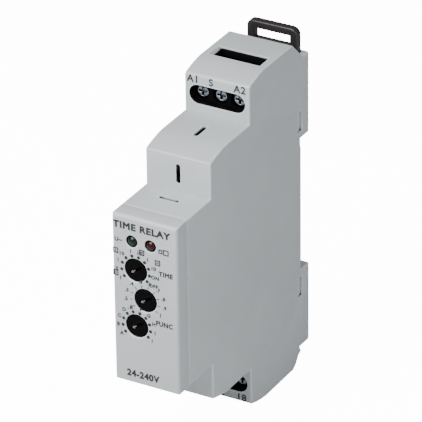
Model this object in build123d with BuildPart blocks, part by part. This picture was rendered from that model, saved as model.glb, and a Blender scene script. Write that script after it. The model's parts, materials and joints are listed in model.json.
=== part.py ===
from build123d import *
import os
from math import atan, degrees

os.makedirs("parts", exist_ok=True)

# Timing relay, one 17.5 mm module wide, for 35 mm top-hat rail.
# X runs across the width, Y from the front face back to the wall, Z up.
# The origin is on the rail seat, at mid width and at the rail's centre height.

# ---------------------------------------------------------------- envelope
width = 17.5
height = 90.0  # over the terminal tiers
step_height = 67.0  # over the middle step
nose_height = 45.0
seat_depth = 61.0  # rail seat to nose face
nose_depth = 16.3  # nose face to the middle step's face
step_depth = 18.9  # middle step's face to the terminal tier's face
rear_depth = 4.0  # rail blocks behind the seat
cap_depth = 5.0  # front cap, nose face to seam

# ---------------------------------------------------------------- walls and slopes
wall = 1.3  # rim, front, top and rear
side_wall = 1.2  # right wall and side cover
rim = 0.6  # rim left beside the side cover
seam_gap = 0.06  # side cover to rim
lid_gap = 0.1  # front cap's tongue to the nose walls
step_slope = 7.4
step_rise = 1.6
tier_slope = 7.2
tier_rise = 1.6
slope_bulge = 0.22
rear_chamfer = 5.2
edge_round = 0.35
cap_round = 0.9

# ---------------------------------------------------------------- rail
rail_width = 35.0
rail_play = 0.75
rail_flange = 1.0
hook_gap = 0.25
hook_grip = 0.9
hook_width = 12.0
hook_lead_in = 0.9
core_wall = 1.3  # walls round the lower rail block's cores
core_rib = 1.2  # rib between the two cores
relief_height = 2.25  # groove beside each rail block
relief_depth = 0.3
foot_height = 21.8  # lower rail block
foot_notch = 1.5

# ---------------------------------------------------------------- derived places
half = width / 2
inner = half - side_wall
top_z = height / 2
step_z = step_height / 2
nose_z = nose_height / 2
nose_y = -seat_depth
mouth_y = nose_y + cap_depth
step_y = nose_y + nose_depth
tier_y = step_y + step_depth
top_rear_y = 1.0 - rear_chamfer
ledge_z = top_z - rear_chamfer
slot_z = rail_width / 2 + rail_play
foot_z = -slot_z - foot_height


def span(centre, size):
    """Low and high value of a size about its centre."""
    return (centre - size / 2, centre + size / 2)


def block(x, y, z, mode=Mode.ADD):
    """Box between a low and a high value on each axis."""
    with Locations((sum(x) / 2, sum(y) / 2, sum(z) / 2)):
        Box(x[1] - x[0], y[1] - y[0], z[1] - z[0], mode=mode)


def rod_x(radius, centre, x, mode=Mode.ADD):
    """Round bar along X about a (y, z) centre."""
    with Locations((sum(x) / 2, centre[0], centre[1])):
        Cylinder(radius, x[1] - x[0], rotation=(0, 90, 0), mode=mode)


def rod_y(radius, centre, y, mode=Mode.ADD):
    """Round bar along Y about an (x, z) centre."""
    with Locations((centre[0], sum(y) / 2, centre[1])):
        Cylinder(radius, y[1] - y[0], rotation=(90, 0, 0), mode=mode)


def rod_z(radius, centre, z, mode=Mode.ADD):
    """Round bar along Z about an (x, y) centre."""
    with Locations((centre[0], centre[1], sum(z) / 2)):
        Cylinder(radius, z[1] - z[0], mode=mode)


def mirrored(z, side):
    """A height span on the upper half, side 1, or the lower half, side -1."""
    return z if side > 0 else (-z[1], -z[0])


def finish(builder, label):
    """Labels one finished piece and writes its file."""
    builder.part.label = label
    export_step(builder.part, f"parts/{label}.step")


def draw_steps(inset, front, side):
    """Half of the side view, from the nose mouth to the terminal tier's top."""
    step_foot = (step_y + inset, side * (step_z - step_rise - inset))
    step_head = (step_y + step_slope, side * (step_z - inset))
    tier_foot = (tier_y + inset, side * (top_z - tier_rise - inset))
    tier_head = (tier_y + tier_slope, side * (top_z - inset))
    Polyline(
        (front, side * (nose_z - inset)),
        (step_y + inset, side * (nose_z - inset)),
        step_foot,
    )
    bulged(step_foot, step_head, side)
    Polyline(step_head, (tier_y + inset, side * (step_z - inset)), tier_foot)
    bulged(tier_foot, tier_head, side)
    return tier_head


def bulged(start, end, side):
    """Slightly crowned slope between two points of the side view."""
    middle = ((start[0] + end[0]) / 2, (start[1] + end[1]) / 2 + side * slope_bulge)
    ThreePointArc(start, middle, end)


def draw_inside(inset, front, rear):
    """Closed side view of the case without its rail blocks, inset on every side."""
    upper = draw_steps(inset, front, 1)
    lower = draw_steps(inset, front, -1)
    Polyline(
        upper,
        (top_rear_y - inset / 2, top_z - inset),
        (rear, ledge_z - inset / 2),
        (rear, foot_z + 1.0),
        (top_rear_y - inset / 2, inset - top_z),
        lower,
    )
    Line((front, nose_z - inset), (front, inset - nose_z))


# ---------------------------------------------------------------- terminals
terminals = {1: ["a1", "s", "a2"], -1: ["15", "16", "18"]}
pole_pitch = 5.0
poles = [-pole_pitch, 0.0, pole_pitch]
pole_z = top_z - 6.7
window_length = 15.2
window_height = 5.0
entry_length = 14.0
entry_throat = 12.0
lining_thick = 0.3  # black linings of the block in the window and the funnel
lining_gap = 0.05
window_lining_low = 0.2
entry_lining_low = 0.5
entry_y = (tier_y + tier_slope + 1.1, tier_y + tier_slope + 6.1)
head_radius = 1.8
head_thick = 1.5
head_recess = 2.1
shank_radius = 1.25
thread_gap = 0.04
head_chamfer = 0.3
cross_depth = 0.9
cross_long = 2.3
cross_wide = 0.55
shoulder = 1.0
cage_width = 3.7
cage_height = 4.2
cage_side = 0.6
cage_nut = 1.1
cage_floor = 0.7
cage_gap = 0.15
cage_travel = 2.25
strap_width = 2.0
strap_thick = 0.7
wire_gap = 2.6
block_play = 0.1

head_y = tier_y + head_recess
shoulder_y = head_y + head_thick
cage_y = shoulder_y + shoulder + cage_gap + cage_travel
tip_y = cage_y + cage_nut + 0.15
strap_y = (tip_y + 0.2, tip_y + 0.2 + strap_thick)
cage_end_y = strap_y[1] + wire_gap + cage_floor
block_y = (tier_y + wall + block_play, cage_end_y + 1.0)
block_z = (pole_z - 3.9, pole_z + 3.5)

# ---------------------------------------------------------------- boards
board_thick = 1.0
board_gap = 0.95
board_play = 0.3
board_x = (-inner + board_gap, -inner + board_gap + board_thick)
board_front_y = step_y - 3.3
shelf_drop = 3.3
board_shelf_z = step_z - shelf_drop
board_tall_z = block_z[0] - 1.2
leg_reach = 0.6
leg_slack = 0.05
leg_first_z = block_z[0] - 2.0
leg_pitch = 1.8
leg_high = 1.0
face_board_y = (mouth_y + 5.0, mouth_y + 6.0)
post_radius = 2.0
pin_radius = 1.4
pin_hole = 1.55
plug_radius = 0.7
plug_bore = 0.74
plug_length = 4.0
posts = [
    (step_y + 6.2, step_z - 7.0),
    (step_y + 6.2, 7.0 - step_z),
    (tier_y + 4.3, -24.0),
]

# ---------------------------------------------------------------- dials and lamps
dial_pitch = 7.5
dial_mid_z = 1.05
dial_side_x = -2.45
dials = {
    "range": (dial_side_x, dial_mid_z + dial_pitch),
    "time": (0.0, dial_mid_z),
    "function": (dial_side_x, dial_mid_z - dial_pitch),
}
dial_rest = 215.0  # pointer's angle at the start of the scale
knob_radius = 2.9
well_gap = 0.16
knob_recess = 0.2
knob_length = 3.2
knob_chamfer = 0.25
socket_depth = 1.6  # of the rotor behind the knob's face
arrow_depth = 0.7
arrow_slot = (4.0, 0.8)
arrow_head = 0.95
arrow_head_at = 1.25
rotor_radius = 1.5
rotor_gap = 0.05
switch_size = 7.0
switch_deep = 4.2
switch_floor = 0.7
switch_wall = 0.8
drum_gap = 0.1
lamps = {"supply": (-3.4, 16.0), "output": (1.6, 16.0)}
lamp_radius = 1.45
lamp_flange = 1.75
lamp_gap = 0.08
lamp_proud = 0.3
lamp_length = 4.0  # nose face to the flange's rear
lamp_flange_thick = 0.8
lamp_pitch = 1.27
lead = 0.5
lead_slack = 0.1

# ---------------------------------------------------------------- front cap
cap_front = 1.6
tongue_wall = 0.9
tongue_length = 3.0
snap_width = 5.0
snap_slot = 5.3
snap_thick = 0.8
snap_y = mouth_y + 7.0
snap_slot_long = 1.1
snap_barb = 0.8
snap_rise = 0.55
collar_wall = 0.7  # round each dial well, inside
collar_end = 3.0
rim_chamfer = 0.2
vent_width = 1.25
vent_web = 0.45  # wall left around a vent slot
vent_pocket = 4.2  # width of the thinned wall inside
vent_rise = 5.2
vent_run = 5.6

# ---------------------------------------------------------------- latch
latch_half = 6.9
latch_gap = 0.12
latch_thick = 2.2
latch_front_y = rail_flange + 0.2
latch_grip = 1.9
latch_lead_in = 0.9
latch_shoulder = 1.5  # step on each side of the tongue
loop_chamfer = 0.25
loop_rise = 6.5
loop_bar = 2.1
loop_leg = 2.1
loop_sill = 1.7
loop_corner = 1.8
guide_lip = 1.1
spring_radius = 0.85
spring_wire = 0.15
spring_length = 10.0
spring_turns = 9
peg_high = 2.5
well_half = 1.6
latch_y = (latch_front_y, latch_front_y + latch_thick)
channel_y = (latch_front_y - latch_gap, latch_y[1] + latch_gap)
loop_top_z = ledge_z + loop_rise
tongue_low = rail_width / 2 - latch_grip + 0.7
tongue_share = 4.1 / 11.0  # of the free room along the latch, below the spring
free_room = ledge_z - tongue_low - spring_length - peg_high
spring_low = tongue_low + tongue_share * free_room
spring_z = (spring_low, spring_low + spring_length)
peg_z = (spring_z[1], spring_z[1] + peg_high)

# ---------------------------------------------------------------- housing shell
with BuildPart() as housing_shell:
    with BuildSketch(Plane.YZ.offset(-half)):
        with BuildLine():
            upper_end = draw_steps(0, mouth_y, 1)
            lower_end = draw_steps(0, mouth_y, -1)
            Polyline(
                upper_end,
                (top_rear_y, top_z),
                (1.0, ledge_z),
                (rear_depth, ledge_z),
                (rear_depth, slot_z),
                (0, slot_z),
                (0, -slot_z),
                (rear_depth, -slot_z),
                (rear_depth, foot_z),
                (-0.6, foot_z),
                (0, foot_z - foot_notch),
                (-1.4, foot_z - foot_notch - 0.6),
                (-2.8, 0.9 - top_z),
                (top_rear_y, -top_z),
                lower_end,
            )
            Line((mouth_y, nose_z), (mouth_y, -nose_z))
        make_face()
    extrude(amount=width)
    with BuildSketch(Plane.YZ.offset(-half)):
        with BuildLine():
            draw_inside(wall, mouth_y, -wall)
        make_face()
    extrude(amount=width - side_wall, mode=Mode.SUBTRACT)
    with BuildSketch(Plane.YZ.offset(-half)):
        with BuildLine():
            draw_inside(rim, mouth_y, -rim)
        make_face()
    extrude(amount=side_wall, mode=Mode.SUBTRACT)
    for y, z in posts:
        rod_x(post_radius, (y, z), (board_x[1], inner))
        rod_x(pin_radius, (y, z), (-inner, inner))
        rod_x(plug_bore, (y, z), (-inner, plug_length - inner + 0.3), mode=Mode.SUBTRACT)
    for side in (1, -1):
        # screw window in the terminal tier's face
        with BuildSketch(Plane.XZ.offset(-tier_y - wall)):
            with Locations((0, side * pole_z)):
                SlotOverall(window_length, window_height)
        extrude(amount=wall, mode=Mode.SUBTRACT)
        # funnel over the wire entries
        with BuildSketch(Plane.XY.offset(side * top_z)):
            with Locations((0, sum(entry_y) / 2)):
                Rectangle(entry_length, entry_y[1] - entry_y[0])
        with BuildSketch(Plane.XY.offset(side * (top_z - wall))):
            with Locations((0, sum(entry_y) / 2)):
                Rectangle(entry_throat, entry_y[1] - entry_y[0])
        loft(mode=Mode.SUBTRACT)
        # catch slot for the front cap, and the two narrow slots of the middle step
        shelf = mirrored((nose_z - wall, nose_z), side)
        catch_y = (snap_y + 0.45 - snap_slot_long, snap_y + 0.45)
        block(span(0, snap_slot), catch_y, shelf, Mode.SUBTRACT)
        face_mid = nose_z + 4.6
        with BuildSketch(Plane.XZ.offset(-step_y - wall)):
            with Locations((0, side * face_mid)):
                SlotOverall(vent_rise, vent_width, rotation=90)
        extrude(amount=wall, mode=Mode.SUBTRACT)
        pocket_rise = mirrored(span(face_mid, vent_rise + 1.2), side)
        block(span(0, vent_pocket), (step_y + vent_web, step_y + wall), pocket_rise, Mode.SUBTRACT)
        top_mid = step_y + step_slope + 3.5
        with BuildSketch(Plane.XY.offset(side * step_z)):
            with Locations((0, top_mid)):
                SlotOverall(vent_run, vent_width, rotation=90)
        extrude(amount=-side * wall, mode=Mode.SUBTRACT)
        pocket_run = span(top_mid, vent_run + 1.2)
        pocket_deep = mirrored((step_z - wall, step_z - vent_web), side)
        block(span(0, vent_pocket), pocket_run, pocket_deep, Mode.SUBTRACT)
        # long mark near the rail seat on the right wall
        mark = mirrored((slot_z + 1.9, slot_z + 7.4), side)
        block((half - 0.6, half), (-1.8, 0.25), mark, Mode.SUBTRACT)
        block((inner, half), (-1.8, -0.75), mark, Mode.SUBTRACT)
    # latch channel through the upper rail block, with lips that hold the slider in
    channel_half = latch_half + latch_gap
    block(span(0, 2 * channel_half), channel_y, (slot_z, ledge_z), Mode.SUBTRACT)
    mouth_half = channel_half - guide_lip
    block(span(0, 2 * mouth_half), (channel_y[1], rear_depth), (slot_z, ledge_z), Mode.SUBTRACT)
    block(span(0, 2 * well_half - 0.4), (channel_y[0], latch_y[1] - 0.3), peg_z)
    # relief grooves where the seat meets the rail blocks
    for side in (1, -1):
        groove_z = mirrored((slot_z - relief_height, slot_z), side)
        block((-half, half), (-relief_depth, 0), groove_z, Mode.SUBTRACT)
    # lower rail block: cored out, with the fixed hook on top
    for side in (1, -1):
        core_x = (core_rib / 2, half - core_wall) if side > 0 else (core_wall - half, -core_rib / 2)
        core_z = (foot_z + core_wall, -slot_z - core_wall)
        block(core_x, (0, rear_depth), core_z, Mode.SUBTRACT)
    hook_y = (rail_flange + hook_gap, rear_depth)
    block(span(0, hook_width), hook_y, (-slot_z, hook_grip - rail_width / 2))
    hook_edge = housing_shell.edges().filter_by(Axis.X).filter_by_position(
        Axis.Z, hook_grip - rail_width / 2 - 0.01, hook_grip - rail_width / 2 + 0.01
    )
    chamfer(hook_edge.sort_by(Axis.Y)[-1], length=hook_lead_in)
finish(housing_shell, "housing_shell")

# ---------------------------------------------------------------- side cover
with BuildPart() as side_cover:
    with BuildSketch(Plane.YZ.offset(-half)):
        with BuildLine():
            draw_inside(rim + seam_gap, mouth_y, -rim - seam_gap)
        make_face()
    extrude(amount=side_wall)
    for y, z in posts:
        rod_x(plug_radius, (y, z), (-inner, plug_length - inner))
finish(side_cover, "side_cover")

# ---------------------------------------------------------------- front cap
tongue_x = inner - lid_gap
tongue_z = nose_z - wall - lid_gap
pocket_x = 2 * (tongue_x - tongue_wall)
pocket_z = 2 * (tongue_z - tongue_wall)
tongue_end = mouth_y + tongue_length
with BuildPart() as front_cap:
    block((-half, half), (nose_y, mouth_y), (-nose_z, nose_z))
    front_edges = front_cap.faces().sort_by(Axis.Y)[0].edges()
    fillet(front_edges, radius=cap_round)
    side_edges = front_cap.edges().filter_by(Axis.Y)
    fillet(side_edges, radius=edge_round)
    block(span(0, 2 * tongue_x), (mouth_y, tongue_end), span(0, 2 * tongue_z))
    pocket_y = (nose_y + cap_front, tongue_end)
    block(span(0, pocket_x), pocket_y, span(0, pocket_z), Mode.SUBTRACT)
    for x, z in dials.values():
        rod_y(knob_radius + well_gap + collar_wall, (x, z), (nose_y + cap_front, nose_y + collar_end))
    for x, z in dials.values():
        rod_y(knob_radius + well_gap, (x, z), (nose_y, nose_y + collar_end), Mode.SUBTRACT)
    for x, z in lamps.values():
        rod_y(lamp_radius + lamp_gap, (x, z), (nose_y, nose_y + cap_front), Mode.SUBTRACT)
    wells = front_cap.faces().sort_by(Axis.Y)[0].inner_wires()
    chamfer([edge for wire in wells for edge in wire.edges()], length=rim_chamfer)
    for side in (1, -1):
        arm_z = mirrored((tongue_z - snap_thick, tongue_z), side)
        barb_z = mirrored((tongue_z, tongue_z + snap_rise), side)
        block(span(0, snap_width), (tongue_end, snap_y + snap_barb / 2), arm_z)
        block(span(0, snap_width), span(snap_y, snap_barb), barb_z)
finish(front_cap, "front_cap")

# ---------------------------------------------------------------- rail latch and spring
with BuildPart() as rail_latch:
    with BuildSketch(Plane.XZ.offset(-latch_y[1])) as latch_face:
        with Locations((0, (loop_top_z + slot_z) / 2)):
            Rectangle(2 * latch_half, loop_top_z - slot_z)
        loop_corners = latch_face.vertices().group_by(Axis.Y)[-1]
        fillet(loop_corners, radius=loop_corner)
        with Locations((0, (slot_z + tongue_low) / 2)):
            Rectangle(2 * (latch_half - latch_shoulder), slot_z - tongue_low + 0.02)
        window_z = (ledge_z + loop_sill, loop_top_z - loop_bar)
        with Locations((0, sum(window_z) / 2)):
            Rectangle(2 * (latch_half - loop_leg), window_z[1] - window_z[0], mode=Mode.SUBTRACT)
        well_z = (spring_z[0], peg_z[1] + 0.1)
        with Locations((0, sum(well_z) / 2)):
            Rectangle(2 * well_half, well_z[1] - well_z[0], mode=Mode.SUBTRACT)
    extrude(amount=latch_thick)
    loop_edges = rail_latch.edges().filter_by_position(Axis.Z, ledge_z + 2, loop_top_z + 1)
    chamfer(loop_edges.filter_by(Axis.Y, reverse=True), length=loop_chamfer)
    lead_in = rail_latch.edges().filter_by(Axis.X).group_by(Axis.Z)[0].sort_by(Axis.Y)[-1]
    chamfer(lead_in, length=latch_lead_in)
finish(rail_latch, "rail_latch")

with BuildPart() as latch_spring:
    coil_low = spring_z[0] + spring_wire + 0.02
    coil_high = spring_z[1] - spring_wire - 0.02
    pitch = (coil_high - coil_low) / spring_turns
    with BuildLine(Plane.XY.offset(coil_low).move(Location((0, sum(latch_y) / 2, 0)))) as coil:
        Helix(pitch=pitch, height=coil_high - coil_low, radius=spring_radius)
    with BuildSketch(Plane(origin=coil.line @ 0, z_dir=coil.line % 0)):
        Circle(spring_wire)
    sweep(path=coil.line, is_frenet=True)
finish(latch_spring, "latch_spring")

# ---------------------------------------------------------------- knobs, rotors and switches
knob_y = (nose_y + knob_recess, nose_y + knob_recess + knob_length)
switch_y = (face_board_y[0] - 0.02 - switch_deep, face_board_y[0] - 0.02)
for name, (x, z) in dials.items():
    with BuildPart() as knob:
        rod_y(knob_radius, (x, z), knob_y)
        chamfer(knob.edges().filter_by(GeomType.CIRCLE).sort_by(Axis.Y)[0], length=knob_chamfer)
        rod_y(rotor_radius, (x, z), (knob_y[0] + socket_depth, knob_y[1]), Mode.SUBTRACT)
        with BuildSketch(Plane.XZ.offset(-knob_y[0] - arrow_depth)):
            with Locations(Location((x, z, 0), (0, 0, dial_rest))):
                with Locations((-0.1, 0)):
                    SlotOverall(*arrow_slot)
                with Locations((arrow_head_at, 0)):
                    RegularPolygon(arrow_head, 3)
        extrude(amount=arrow_depth, mode=Mode.SUBTRACT)
    finish(knob, f"knob_{name}")

    with BuildPart() as rotor:
        rod_y(rotor_radius, (x, z), (knob_y[0] + socket_depth, switch_y[1] - switch_floor - drum_gap))
        drum_y = (switch_y[0] + switch_wall + drum_gap, switch_y[1] - switch_floor - drum_gap)
        rod_y(switch_size / 2 - switch_wall - drum_gap, (x, z), drum_y)
    finish(rotor, f"rotor_{name}")

    with BuildPart() as switch:
        block(span(x, switch_size), switch_y, span(z, switch_size))
        chamfer(switch.edges().filter_by(Axis.Y), length=0.5)
        rod_y(rotor_radius + rotor_gap, (x, z), switch_y, Mode.SUBTRACT)
        drum_room = (switch_y[0] + switch_wall, switch_y[1] - switch_floor)
        rod_y(switch_size / 2 - switch_wall, (x, z), drum_room, Mode.SUBTRACT)
        block(span(x, switch_size - 1.5), (switch_y[1] - switch_floor, switch_y[1]),
              span(z, switch_size - 1.5))
    finish(switch, f"switch_{name}")

# ---------------------------------------------------------------- lamps
seat_y = nose_y + lamp_length
for name, (x, z) in lamps.items():
    with BuildPart() as lamp:
        dome_y = nose_y - lamp_proud + lamp_radius
        rod_y(lamp_radius, (x, z), (dome_y, seat_y))
        with Locations((x, dome_y, z)):
            Sphere(lamp_radius)
        rod_y(lamp_flange, (x, z), (seat_y - lamp_flange_thick, seat_y))
        for side in (1, -1):
            leg = span(x + side * lamp_pitch / 2, lead)
            block(leg, (seat_y, face_board_y[1] + leg_reach), span(z, lead))
    finish(lamp, f"lamp_{name}")

with BuildPart() as lamp_spacers:
    for x, z in lamps.values():
        rod_y(lamp_flange, (x, z), (seat_y + 0.02, face_board_y[0] - 0.02))
        for side in (1, -1):
            leg = span(x + side * lamp_pitch / 2, lead + lead_slack)
            block(leg, (seat_y, face_board_y[0]), span(z, lead + lead_slack), Mode.SUBTRACT)
finish(lamp_spacers, "lamp_spacers")

# ---------------------------------------------------------------- front board and link
link_count = 6
link_pitch = 2.54
link_pin = 0.64
link_x = board_x[1] + 1.27
link_y = (board_front_y + 0.4, board_front_y + 2.9)
link_zs = [(i - (link_count - 1) / 2) * link_pitch - 1.0 for i in range(link_count)]
link_turn_y = sum(link_y) / 2
with BuildPart() as front_board:
    low_z = dials["function"][1] - switch_size / 2 - 1.5
    high_z = lamps["supply"][1] + lamp_flange + 1.2
    face_x = tongue_x - tongue_wall - board_play
    block(span(0, 2 * face_x), face_board_y, (low_z, high_z))
    for x, z in lamps.values():
        for side in (1, -1):
            leg = span(x + side * lamp_pitch / 2, lead + lead_slack)
            block(leg, face_board_y, span(z, lead + lead_slack), Mode.SUBTRACT)
    for z in link_zs:
        block(span(link_x, link_pin + lead_slack), face_board_y,
              span(z, link_pin + lead_slack), Mode.SUBTRACT)
finish(front_board, "front_board")

with BuildPart() as link_header:
    strip_z = (link_zs[0] - link_pitch / 2, link_zs[-1] + link_pitch / 2)
    block((board_x[1] + 0.02, board_x[1] + 2.5), (link_y[0], link_y[0] + 0.85), strip_z)
    for z in link_zs:
        pin_span = span(z, link_pin)
        block(span(link_x, link_pin), (face_board_y[0] + 0.05, link_turn_y), pin_span)
        block((board_x[0] - leg_reach, link_x + link_pin / 2), span(link_turn_y, link_pin), pin_span)
finish(link_header, "link_header")

# ---------------------------------------------------------------- terminals
for side, names in terminals.items():
    level = "upper" if side > 0 else "lower"
    with BuildPart() as terminal_block:
        block(span(0, 2 * (inner - block_play)), block_y, mirrored(block_z, side))
        with BuildSketch(Plane.XZ.offset(-block_y[0])):
            with Locations((0, side * pole_z)):
                outer_gap = 2 * lining_gap
                SlotOverall(window_length - outer_gap, window_height - outer_gap)
                inner_gap = outer_gap + 2 * lining_thick
                SlotOverall(window_length - inner_gap, window_height - inner_gap, mode=Mode.SUBTRACT)
        extrude(amount=wall + block_play - window_lining_low)
        lining_x = (entry_throat / 2 - lining_gap, entry_throat / 2 - lining_gap - lining_thick)
        lining_z = mirrored((block_z[1], top_z - entry_lining_low), side)
        lining_y = (entry_y[0] + lining_gap, entry_y[1] - lining_gap)
        block((-lining_x[0], lining_x[0]), lining_y, lining_z)
        funnel_y = (lining_y[0] + lining_thick, lining_y[1] - lining_thick)
        block((-lining_x[1], lining_x[1]), funnel_y, lining_z, Mode.SUBTRACT)
        for x in poles:
            centre = (x, side * pole_z)
            room_x = span(x, cage_width + 2 * cage_gap)
            room_y = (shoulder_y + shoulder, cage_end_y + 0.2)
            room_z = mirrored(span(pole_z, cage_height + 2 * cage_gap), side)
            block(room_x, room_y, room_z, Mode.SUBTRACT)
            rod_y(head_radius + cage_gap, centre, (block_y[0], shoulder_y), Mode.SUBTRACT)
            rod_y(shank_radius + cage_gap, centre, (block_y[0], room_y[0]), Mode.SUBTRACT)
            wire_y = (strap_y[1] + 0.1, strap_y[1] + wire_gap - 0.1)
            wire_z = mirrored((pole_z, block_z[1]), side)
            block(span(x, cage_width - 2 * cage_side), wire_y, wire_z, Mode.SUBTRACT)
            slot_y = (strap_y[0] - cage_gap, strap_y[1] + cage_gap)
            strap_z = mirrored((block_z[0], pole_z), side)
            block(span(x, strap_width + 2 * cage_gap), slot_y, strap_z, Mode.SUBTRACT)
    finish(terminal_block, f"{level}_terminal_block")

    for order, (name, x) in enumerate(zip(names, poles)):
        centre = (x, side * pole_z)
        with BuildPart() as screw:
            rod_y(head_radius, centre, (head_y, shoulder_y))
            chamfer(screw.edges().filter_by(GeomType.CIRCLE).sort_by(Axis.Y)[0], length=head_chamfer)
            rod_y(shank_radius, centre, (shoulder_y, tip_y))
            with BuildSketch(Plane.XZ.offset(-head_y - cross_depth)):
                with Locations((centre[0], centre[1])):
                    Rectangle(cross_long, cross_wide)
                    Rectangle(cross_wide, cross_long)
            extrude(amount=cross_depth, mode=Mode.SUBTRACT)
        finish(screw, f"screw_{name}")

        with BuildPart() as cage:
            cage_z = span(side * pole_z, cage_height)
            block(span(x, cage_width), (cage_y, cage_end_y), cage_z)
            hollow_y = (cage_y + cage_nut, cage_end_y - cage_floor)
            block(span(x, cage_width - 2 * cage_side), hollow_y, cage_z, Mode.SUBTRACT)
            nut_y = (cage_y, cage_y + cage_nut)
            rod_y(shank_radius + thread_gap, centre, nut_y, Mode.SUBTRACT)
        finish(cage, f"cage_{name}")

        with BuildPart() as strap:
            leg_z = span(leg_first_z - order * leg_pitch, leg_high)
            block(span(x, strap_width), strap_y,
                  mirrored((block_z[0] + 0.6, pole_z + cage_height / 2 - 0.2), side))
            neck_x = (x - strap_width / 2 + 0.8, x + strap_width / 2)
            block(neck_x, strap_y, mirrored((leg_z[0], block_z[0] + 0.6), side))
            block((board_x[0] - leg_reach, neck_x[1]), strap_y, mirrored(leg_z, side))
        finish(strap, f"strap_{name}")

# ---------------------------------------------------------------- relay
relay_y = -8.3
relay_gap = 2.8  # above the lower terminal block's front corner
relay_low_z = relay_gap - block_z[0]
relay_long = 28.5
relay_wide = 10.1
relay_tall = 12.3
case_wall = 0.6
base_thick = 1.2
fit_gap = 0.05
pole_x = board_x[1] + 6.8
yoke_thick = 1.0
core_radius = 1.5
pole_radius = 2.3
pole_gap = 0.4
armature_thick = 1.0
blade_thick = 0.25
rivet_radius = 1.1
rivet_high = 0.5
blade_clear = 0.03
card_gap = 0.15
yoke_wide = 7.0
armature_wide = 6.6
bobbin_wide = 8.2
coil_radius = 3.7
card_wide = 4.0
blade_wide = 3.4
pin_wide = 1.2
pole_thick = 0.8
bobbin_wall = 0.55
flange_thick = 0.7
card_foot = 0.9
card_finger = 0.5

relay_x = (board_x[1] + 0.05, board_x[1] + 0.05 + relay_tall)
relay_z = (relay_low_z, relay_low_z + relay_long)
base_top = relay_x[0] + base_thick + 0.1
room_half = relay_wide / 2 - case_wall
yoke_x = (base_top + 0.2, base_top + 0.2 + yoke_thick)
yoke_z = (relay_z[0] + 1.3, relay_z[0] + 17.6)
core_z = (yoke_z[0] + yoke_thick, yoke_z[1] - pole_gap)
armature_z = (yoke_z[1] + 0.05, yoke_z[1] + 0.05 + armature_thick)
armature_x = (yoke_x[0], pole_x + pole_radius + 0.4)
pivot_x = sum(yoke_x) / 2
pole_reach = pole_x + pole_radius - pivot_x
armature_swing = degrees(atan((pole_gap + 0.05 - blade_clear) / pole_reach))
card_x = (armature_x[1] + 0.1, armature_x[1] + 1.2)
blade_z = span(armature_z[1] + 6.0, blade_thick)
blade_x = (base_top + 0.1, card_x[0] + 0.6)
contact_x = card_x[0] - 1.9
# the blade turns as far as the card carries its tip
card_height = card_x[0] + 0.3 - pivot_x
tip_height = card_x[0] + 0.3 - blade_x[0]
blade_ratio = card_height / tip_height
contact_stroke = (contact_x - blade_x[0]) * blade_ratio * (pole_gap + 0.02) / pole_reach
closed_z = {
    "no": blade_z[0] - rivet_high - contact_stroke - blade_clear,
    "nc": blade_z[1] + rivet_high + blade_clear,
}
pin_z = {
    "no": span(closed_z["no"] - rivet_high - 0.15, 0.3),
    "common": blade_z,
    "nc": span(closed_z["nc"] + rivet_high + 0.15, 0.3),
}
coil_pins = [(relay_y - 3.0, relay_z[0] + 2.0), (relay_y + 3.0, relay_z[0] + 2.0)]
coil_pin_radius = 0.3

with BuildPart() as relay_base:
    block((relay_x[0], relay_x[0] + base_thick), span(relay_y, 2 * (room_half - fit_gap)),
          (relay_z[0] + case_wall + fit_gap, relay_z[1] - case_wall - fit_gap))
    for low, high in pin_z.values():
        block((relay_x[0], relay_x[0] + base_thick), span(relay_y, pin_wide + 2 * fit_gap),
              (low - fit_gap, high + fit_gap), Mode.SUBTRACT)
    for centre in coil_pins:
        rod_x(coil_pin_radius + fit_gap, centre, (relay_x[0], base_top), Mode.SUBTRACT)
finish(relay_base, "relay_base")

with BuildPart() as relay_case:
    block(relay_x, span(relay_y, relay_wide), relay_z)
    fillet(relay_case.edges().filter_by(Axis.X), radius=0.6)
    block((relay_x[0], relay_x[1] - case_wall), span(relay_y, 2 * room_half),
          (relay_z[0] + case_wall, relay_z[1] - case_wall), Mode.SUBTRACT)
finish(relay_case, "relay_case")

with BuildPart() as relay_yoke:
    block(yoke_x, span(relay_y, yoke_wide), yoke_z)
    yoke_foot_x = (yoke_x[0], pole_x + pole_radius + 0.3)
    block(yoke_foot_x, span(relay_y, yoke_wide), (yoke_z[0], yoke_z[0] + yoke_thick))
finish(relay_yoke, "relay_yoke")

bobbin_z = (core_z[0] + fit_gap, core_z[1] - pole_thick - fit_gap)
with BuildPart() as relay_core:
    rod_z(core_radius, (pole_x, relay_y), core_z)
    rod_z(pole_radius, (pole_x, relay_y), (core_z[1] - pole_thick, core_z[1]))
finish(relay_core, "relay_core")

flange_x = (yoke_x[1] + 0.15, pole_x + 4.0)
with BuildPart() as relay_bobbin:
    block(flange_x, span(relay_y, bobbin_wide), (bobbin_z[0], bobbin_z[0] + flange_thick))
    block(flange_x, span(relay_y, bobbin_wide), (bobbin_z[1] - flange_thick, bobbin_z[1]))
    rod_z(core_radius + bobbin_wall, (pole_x, relay_y), bobbin_z)
    rod_z(core_radius + fit_gap, (pole_x, relay_y), bobbin_z, Mode.SUBTRACT)
finish(relay_bobbin, "relay_bobbin")

with BuildPart() as relay_coil:
    winding_z = (bobbin_z[0] + flange_thick + fit_gap, bobbin_z[1] - flange_thick - fit_gap)
    rod_z(coil_radius, (pole_x, relay_y), winding_z)
    rod_z(core_radius + bobbin_wall + fit_gap, (pole_x, relay_y), winding_z, Mode.SUBTRACT)
finish(relay_coil, "relay_coil")

with BuildPart() as relay_armature:
    block(armature_x, span(relay_y, armature_wide), armature_z)
finish(relay_armature, "relay_armature")

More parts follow.
